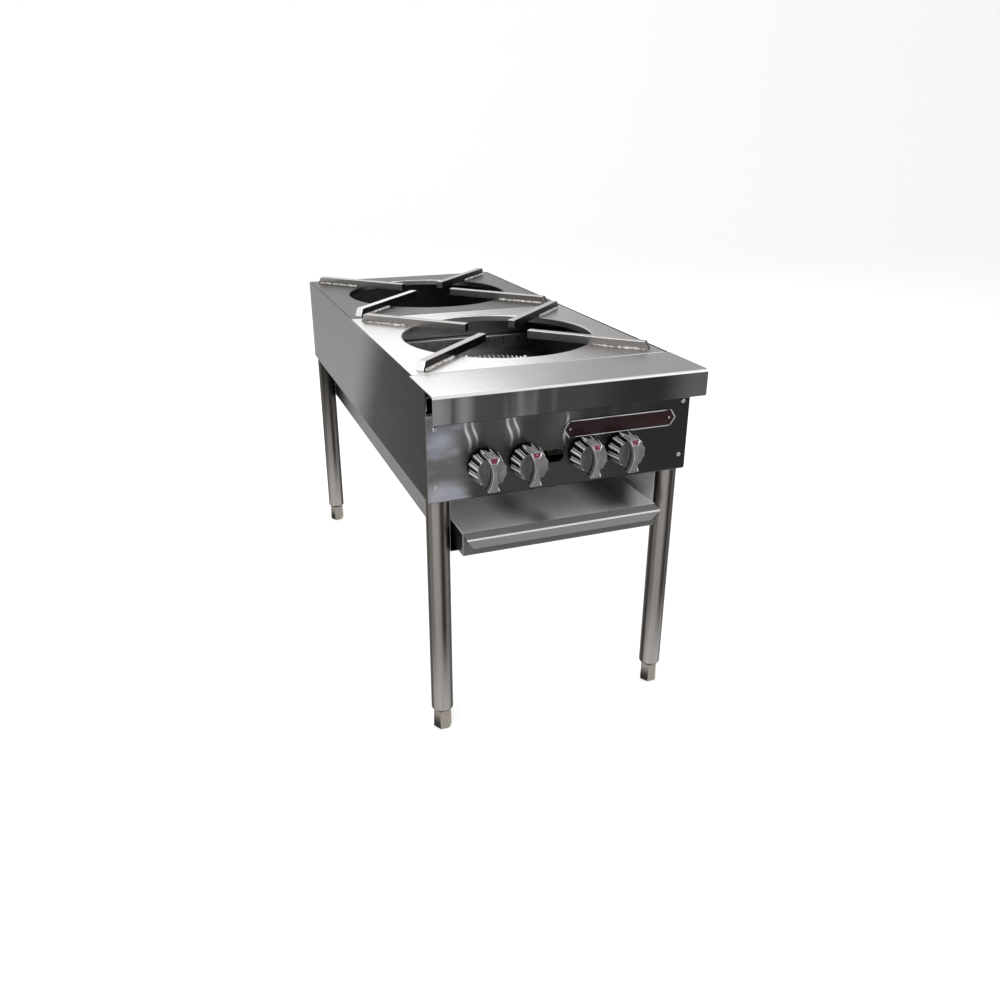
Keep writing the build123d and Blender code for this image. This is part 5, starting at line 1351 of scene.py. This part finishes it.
class STOCKPOT_OT_gas_gear(bpy.types.Operator):
    """Dresses the pipe, valves, jets and tubes, and cuts the inlet's thread"""

    bl_idname = "stockpot.gas_gear"
    bl_label = "Gas Gear"

    def execute(self, context):
        tint = colours()
        pipe = brushed_steel("black pipe", even(40.0), (tint.pipe,), contrast=0.5)
        dress(pipe, "gas_manifold", "manifold_plug")
        brass = brushed_steel("valve brass", even(90.0), (tint.brass,))
        names = [f"{kind}_{number}" for kind in ("valve", "stem") for number in range(1, 5)]
        dress(brass, "gas_jets", *names)
        # Painted shade: the pilot valves are coloured near black for the shade inside the body
        pilot_shade = brushed_steel("pilot steel", even(90.0), (tint.pilot,), contrast=0.3)
        dress(pilot_shade, "pilot_valves")
        tube = brushed_steel("tube metal", even(120.0), (tint.tube,), contrast=0.15)
        dress(tube, "rear_gas_tubes", "pilot_tubes")
        x, _, z = mount_place("gas_inlet")
        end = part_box("gas_manifold")[1].y
        bare, run = 0.0012, 0.0173  # bare pipe at the inlet's end, and the thread's length
        rings = self.thread((x, z), end - bare - run, end - bare)
        ring_mesh("inlet_thread", rings, "frame", pipe, 80)
        return {"FINISHED"}

    def thread(self, axis, start, end):
        """A three-sided ridge carried along a helix about a front-to-back axis.

        Its foot lies just under the pipe's surface, and its height fades out at both ends.
        """
        size = sizes()
        pitch = size.thread_pitch
        turns = (end - start) / pitch
        angle = np.linspace(0, 2 * np.pi * turns, int(turns * 40))[:, None]
        fade = np.clip(np.minimum(angle, angle[-1] - angle) / 1.5, 0.02, 1)
        rise = np.array((-0.0001, size.thread_depth, -0.0001))[None] * fade
        reach = size.thread_radius + rise
        shift = np.array((-0.42, 0.0, 0.42))[None] * pitch
        y = start + pitch * angle / (2 * np.pi) + shift
        x = axis[0] + reach * np.cos(angle)
        z = axis[1] + reach * np.sin(angle)
        return np.stack((x, y, z), axis=-1)


def seen_rays(tree):
    """1 for rays of the camera, of reflections and through glass, and 0 for those that light."""
    path = tree.nodes.new("ShaderNodeLightPath").outputs
    seen = maths(tree, "ADD", path["Is Camera Ray"], path["Is Glossy Ray"], clamp=True)
    return maths(tree, "ADD", seen, path["Is Transmission Ray"], clamp=True)


class STOCKPOT_OT_stage(bpy.types.Operator):
    """Lays the pale floor and backdrop, hangs the lamps and sets the camera"""

    bl_idname = "stockpot.stage"
    bl_label = "Studio"

    def execute(self, context):
        self.floor()
        self.world()
        self.lamps()
        self.camera()
        context.scene.view_settings.view_transform = "Standard"
        return {"FINISHED"}

    def floor(self):
        """A floor that curves up into a backdrop: level, then a quarter circle, then upright."""
        pale, tree, shader = new_material("studio paper", 0.9, 0.0)
        shader["Base Color"].default_value = (*colours().floor, 1)
        shader["Specular IOR Level"].default_value = 0.0
        shader["Emission Color"].default_value = (1, 1, 1, 1)
        link(tree, maths(tree, "MULTIPLY", seen_rays(tree), 0.4), shader["Emission Strength"])
        bend = np.linspace(0, np.pi / 2, 20)
        y = np.concatenate(([-9.0], 4.0 + 2.0 * np.sin(bend), [6.0]))
        z = np.concatenate(([0.0], 2.0 - 2.0 * np.cos(bend), [9.0]))
        x = np.linspace(-9, 9, 12)
        grid = np.stack(np.broadcast_arrays(x[None], y[:, None], z[:, None]), axis=-1)
        index = np.arange(len(y) * len(x)).reshape(len(y), len(x))
        quads = np.stack((index[:-1, :-1], index[:-1, 1:], index[1:, 1:], index[1:, :-1]), axis=-1)
        mesh = bpy.data.meshes.new("studio_paper")
        mesh.from_pydata(grid.reshape(-1, 3).tolist(), [], quads.reshape(-1, 4).tolist())
        mesh.polygons.foreach_set("use_smooth", np.ones(len(mesh.polygons), bool))
        mesh.materials.append(pale)
        paper = bpy.data.objects.new("studio_paper", mesh)
        bpy.context.scene.collection.objects.link(paper)

    def world(self):
        """White where the camera or a reflection looks, and softer where it only lights."""
        world = bpy.data.worlds.new("studio light")
        bpy.context.scene.world = world
        world.use_nodes = True
        tree = world.node_tree
        back = tree.nodes["Background"]
        back.inputs["Color"].default_value = (1, 1, 1, 1)
        strength = maths(tree, "ADD", maths(tree, "MULTIPLY", seen_rays(tree), 0.45), 0.55)
        link(tree, strength, back.inputs["Strength"])

    def lamps(self):
        """Three large soft lamps: over the left shoulder, from the right and from behind."""
        for name, place, size, power in (
            ("key lamp", (-2.2, -2.4, 2.9), 2.2, 60),
            ("fill lamp", (2.6, -1.6, 1.8), 2.4, 22),
            ("rear lamp", (0.4, 2.8, 2.8), 2.2, 30),
        ):
            light = bpy.data.lights.new(name, "AREA")
            light.energy = power
            light.size = size
            lamp = bpy.data.objects.new(name, light)
            lamp.location = place
            aim = Vector((0, 0, 0.4)) - Vector(place)
            lamp.rotation_euler = aim.to_track_quat("-Z", "Y").to_euler()
            bpy.context.scene.collection.objects.link(lamp)

    def camera(self):
        """The photograph's view: from the front left, a little above the deck."""
        eye = Vector((-0.57394, FACE_Y - 1.21204, 0.99236))
        yaw, pitch, roll = 0.366, 0.408, 0.005
        level = Matrix.Rotation(math.pi / 2 - pitch, 4, "X")
        turned = Matrix.Rotation(-yaw, 4, "Z") @ level @ Matrix.Rotation(roll, 4, "Z")
        view = bpy.data.cameras.new("photo camera")
        view.sensor_width = 36.0
        view.lens = 31.80
        view.clip_end = 50
        camera = bpy.data.objects.new("photo camera", view)
        camera.matrix_world = Matrix.Translation(eye) @ turned
        bpy.context.scene.collection.objects.link(camera)
        bpy.context.scene.camera = camera


OPERATORS = (
    STOCKPOT_OT_sheet_metal,
    STOCKPOT_OT_decks,
    STOCKPOT_OT_pot_bars,
    STOCKPOT_OT_burners,
    STOCKPOT_OT_knobs,
    STOCKPOT_OT_nameplate,
    STOCKPOT_OT_screws,
    STOCKPOT_OT_legs,
    STOCKPOT_OT_tray,
    STOCKPOT_OT_gas_gear,
    STOCKPOT_OT_stage,
)


class STOCKPOT_PT_panel(bpy.types.Panel):
    """The range's pieces, colours and sizes"""

    bl_label = "Stock Pot Range"
    bl_idname = "STOCKPOT_PT_panel"
    bl_space_type = "VIEW_3D"
    bl_region_type = "UI"
    bl_category = "Range"

    def draw(self, context):
        for operator in OPERATORS:
            self.layout.operator(operator.bl_idname)
        for label, group in (("Colours", colours()), ("Sizes", sizes())):
            box = self.layout.box()
            box.label(text=label)
            for name in group.__annotations__:
                box.prop(group, name)


CLASSES = (RangeColours, RangeSizes, *OPERATORS, STOCKPOT_PT_panel)


def register():
    """Adds the classes, and the scene's colours and sizes."""
    for item in CLASSES:
        bpy.utils.register_class(item)
    bpy.types.Scene.range_colours = PointerProperty(type=RangeColours)
    bpy.types.Scene.range_sizes = PointerProperty(type=RangeSizes)


def unregister():
    """Takes them away again."""
    del bpy.types.Scene.range_colours
    del bpy.types.Scene.range_sizes
    for item in reversed(CLASSES):
        bpy.utils.unregister_class(item)


def main():
    register()
    bpy.ops.stockpot.sheet_metal()
    bpy.ops.stockpot.decks()
    bpy.ops.stockpot.pot_bars()
    bpy.ops.stockpot.burners()
    bpy.ops.stockpot.knobs()
    bpy.ops.stockpot.nameplate()
    bpy.ops.stockpot.screws()
    bpy.ops.stockpot.legs()
    bpy.ops.stockpot.tray()
    bpy.ops.stockpot.gas_gear()
    bpy.ops.stockpot.stage()


if __name__ == "__main__":
    main()
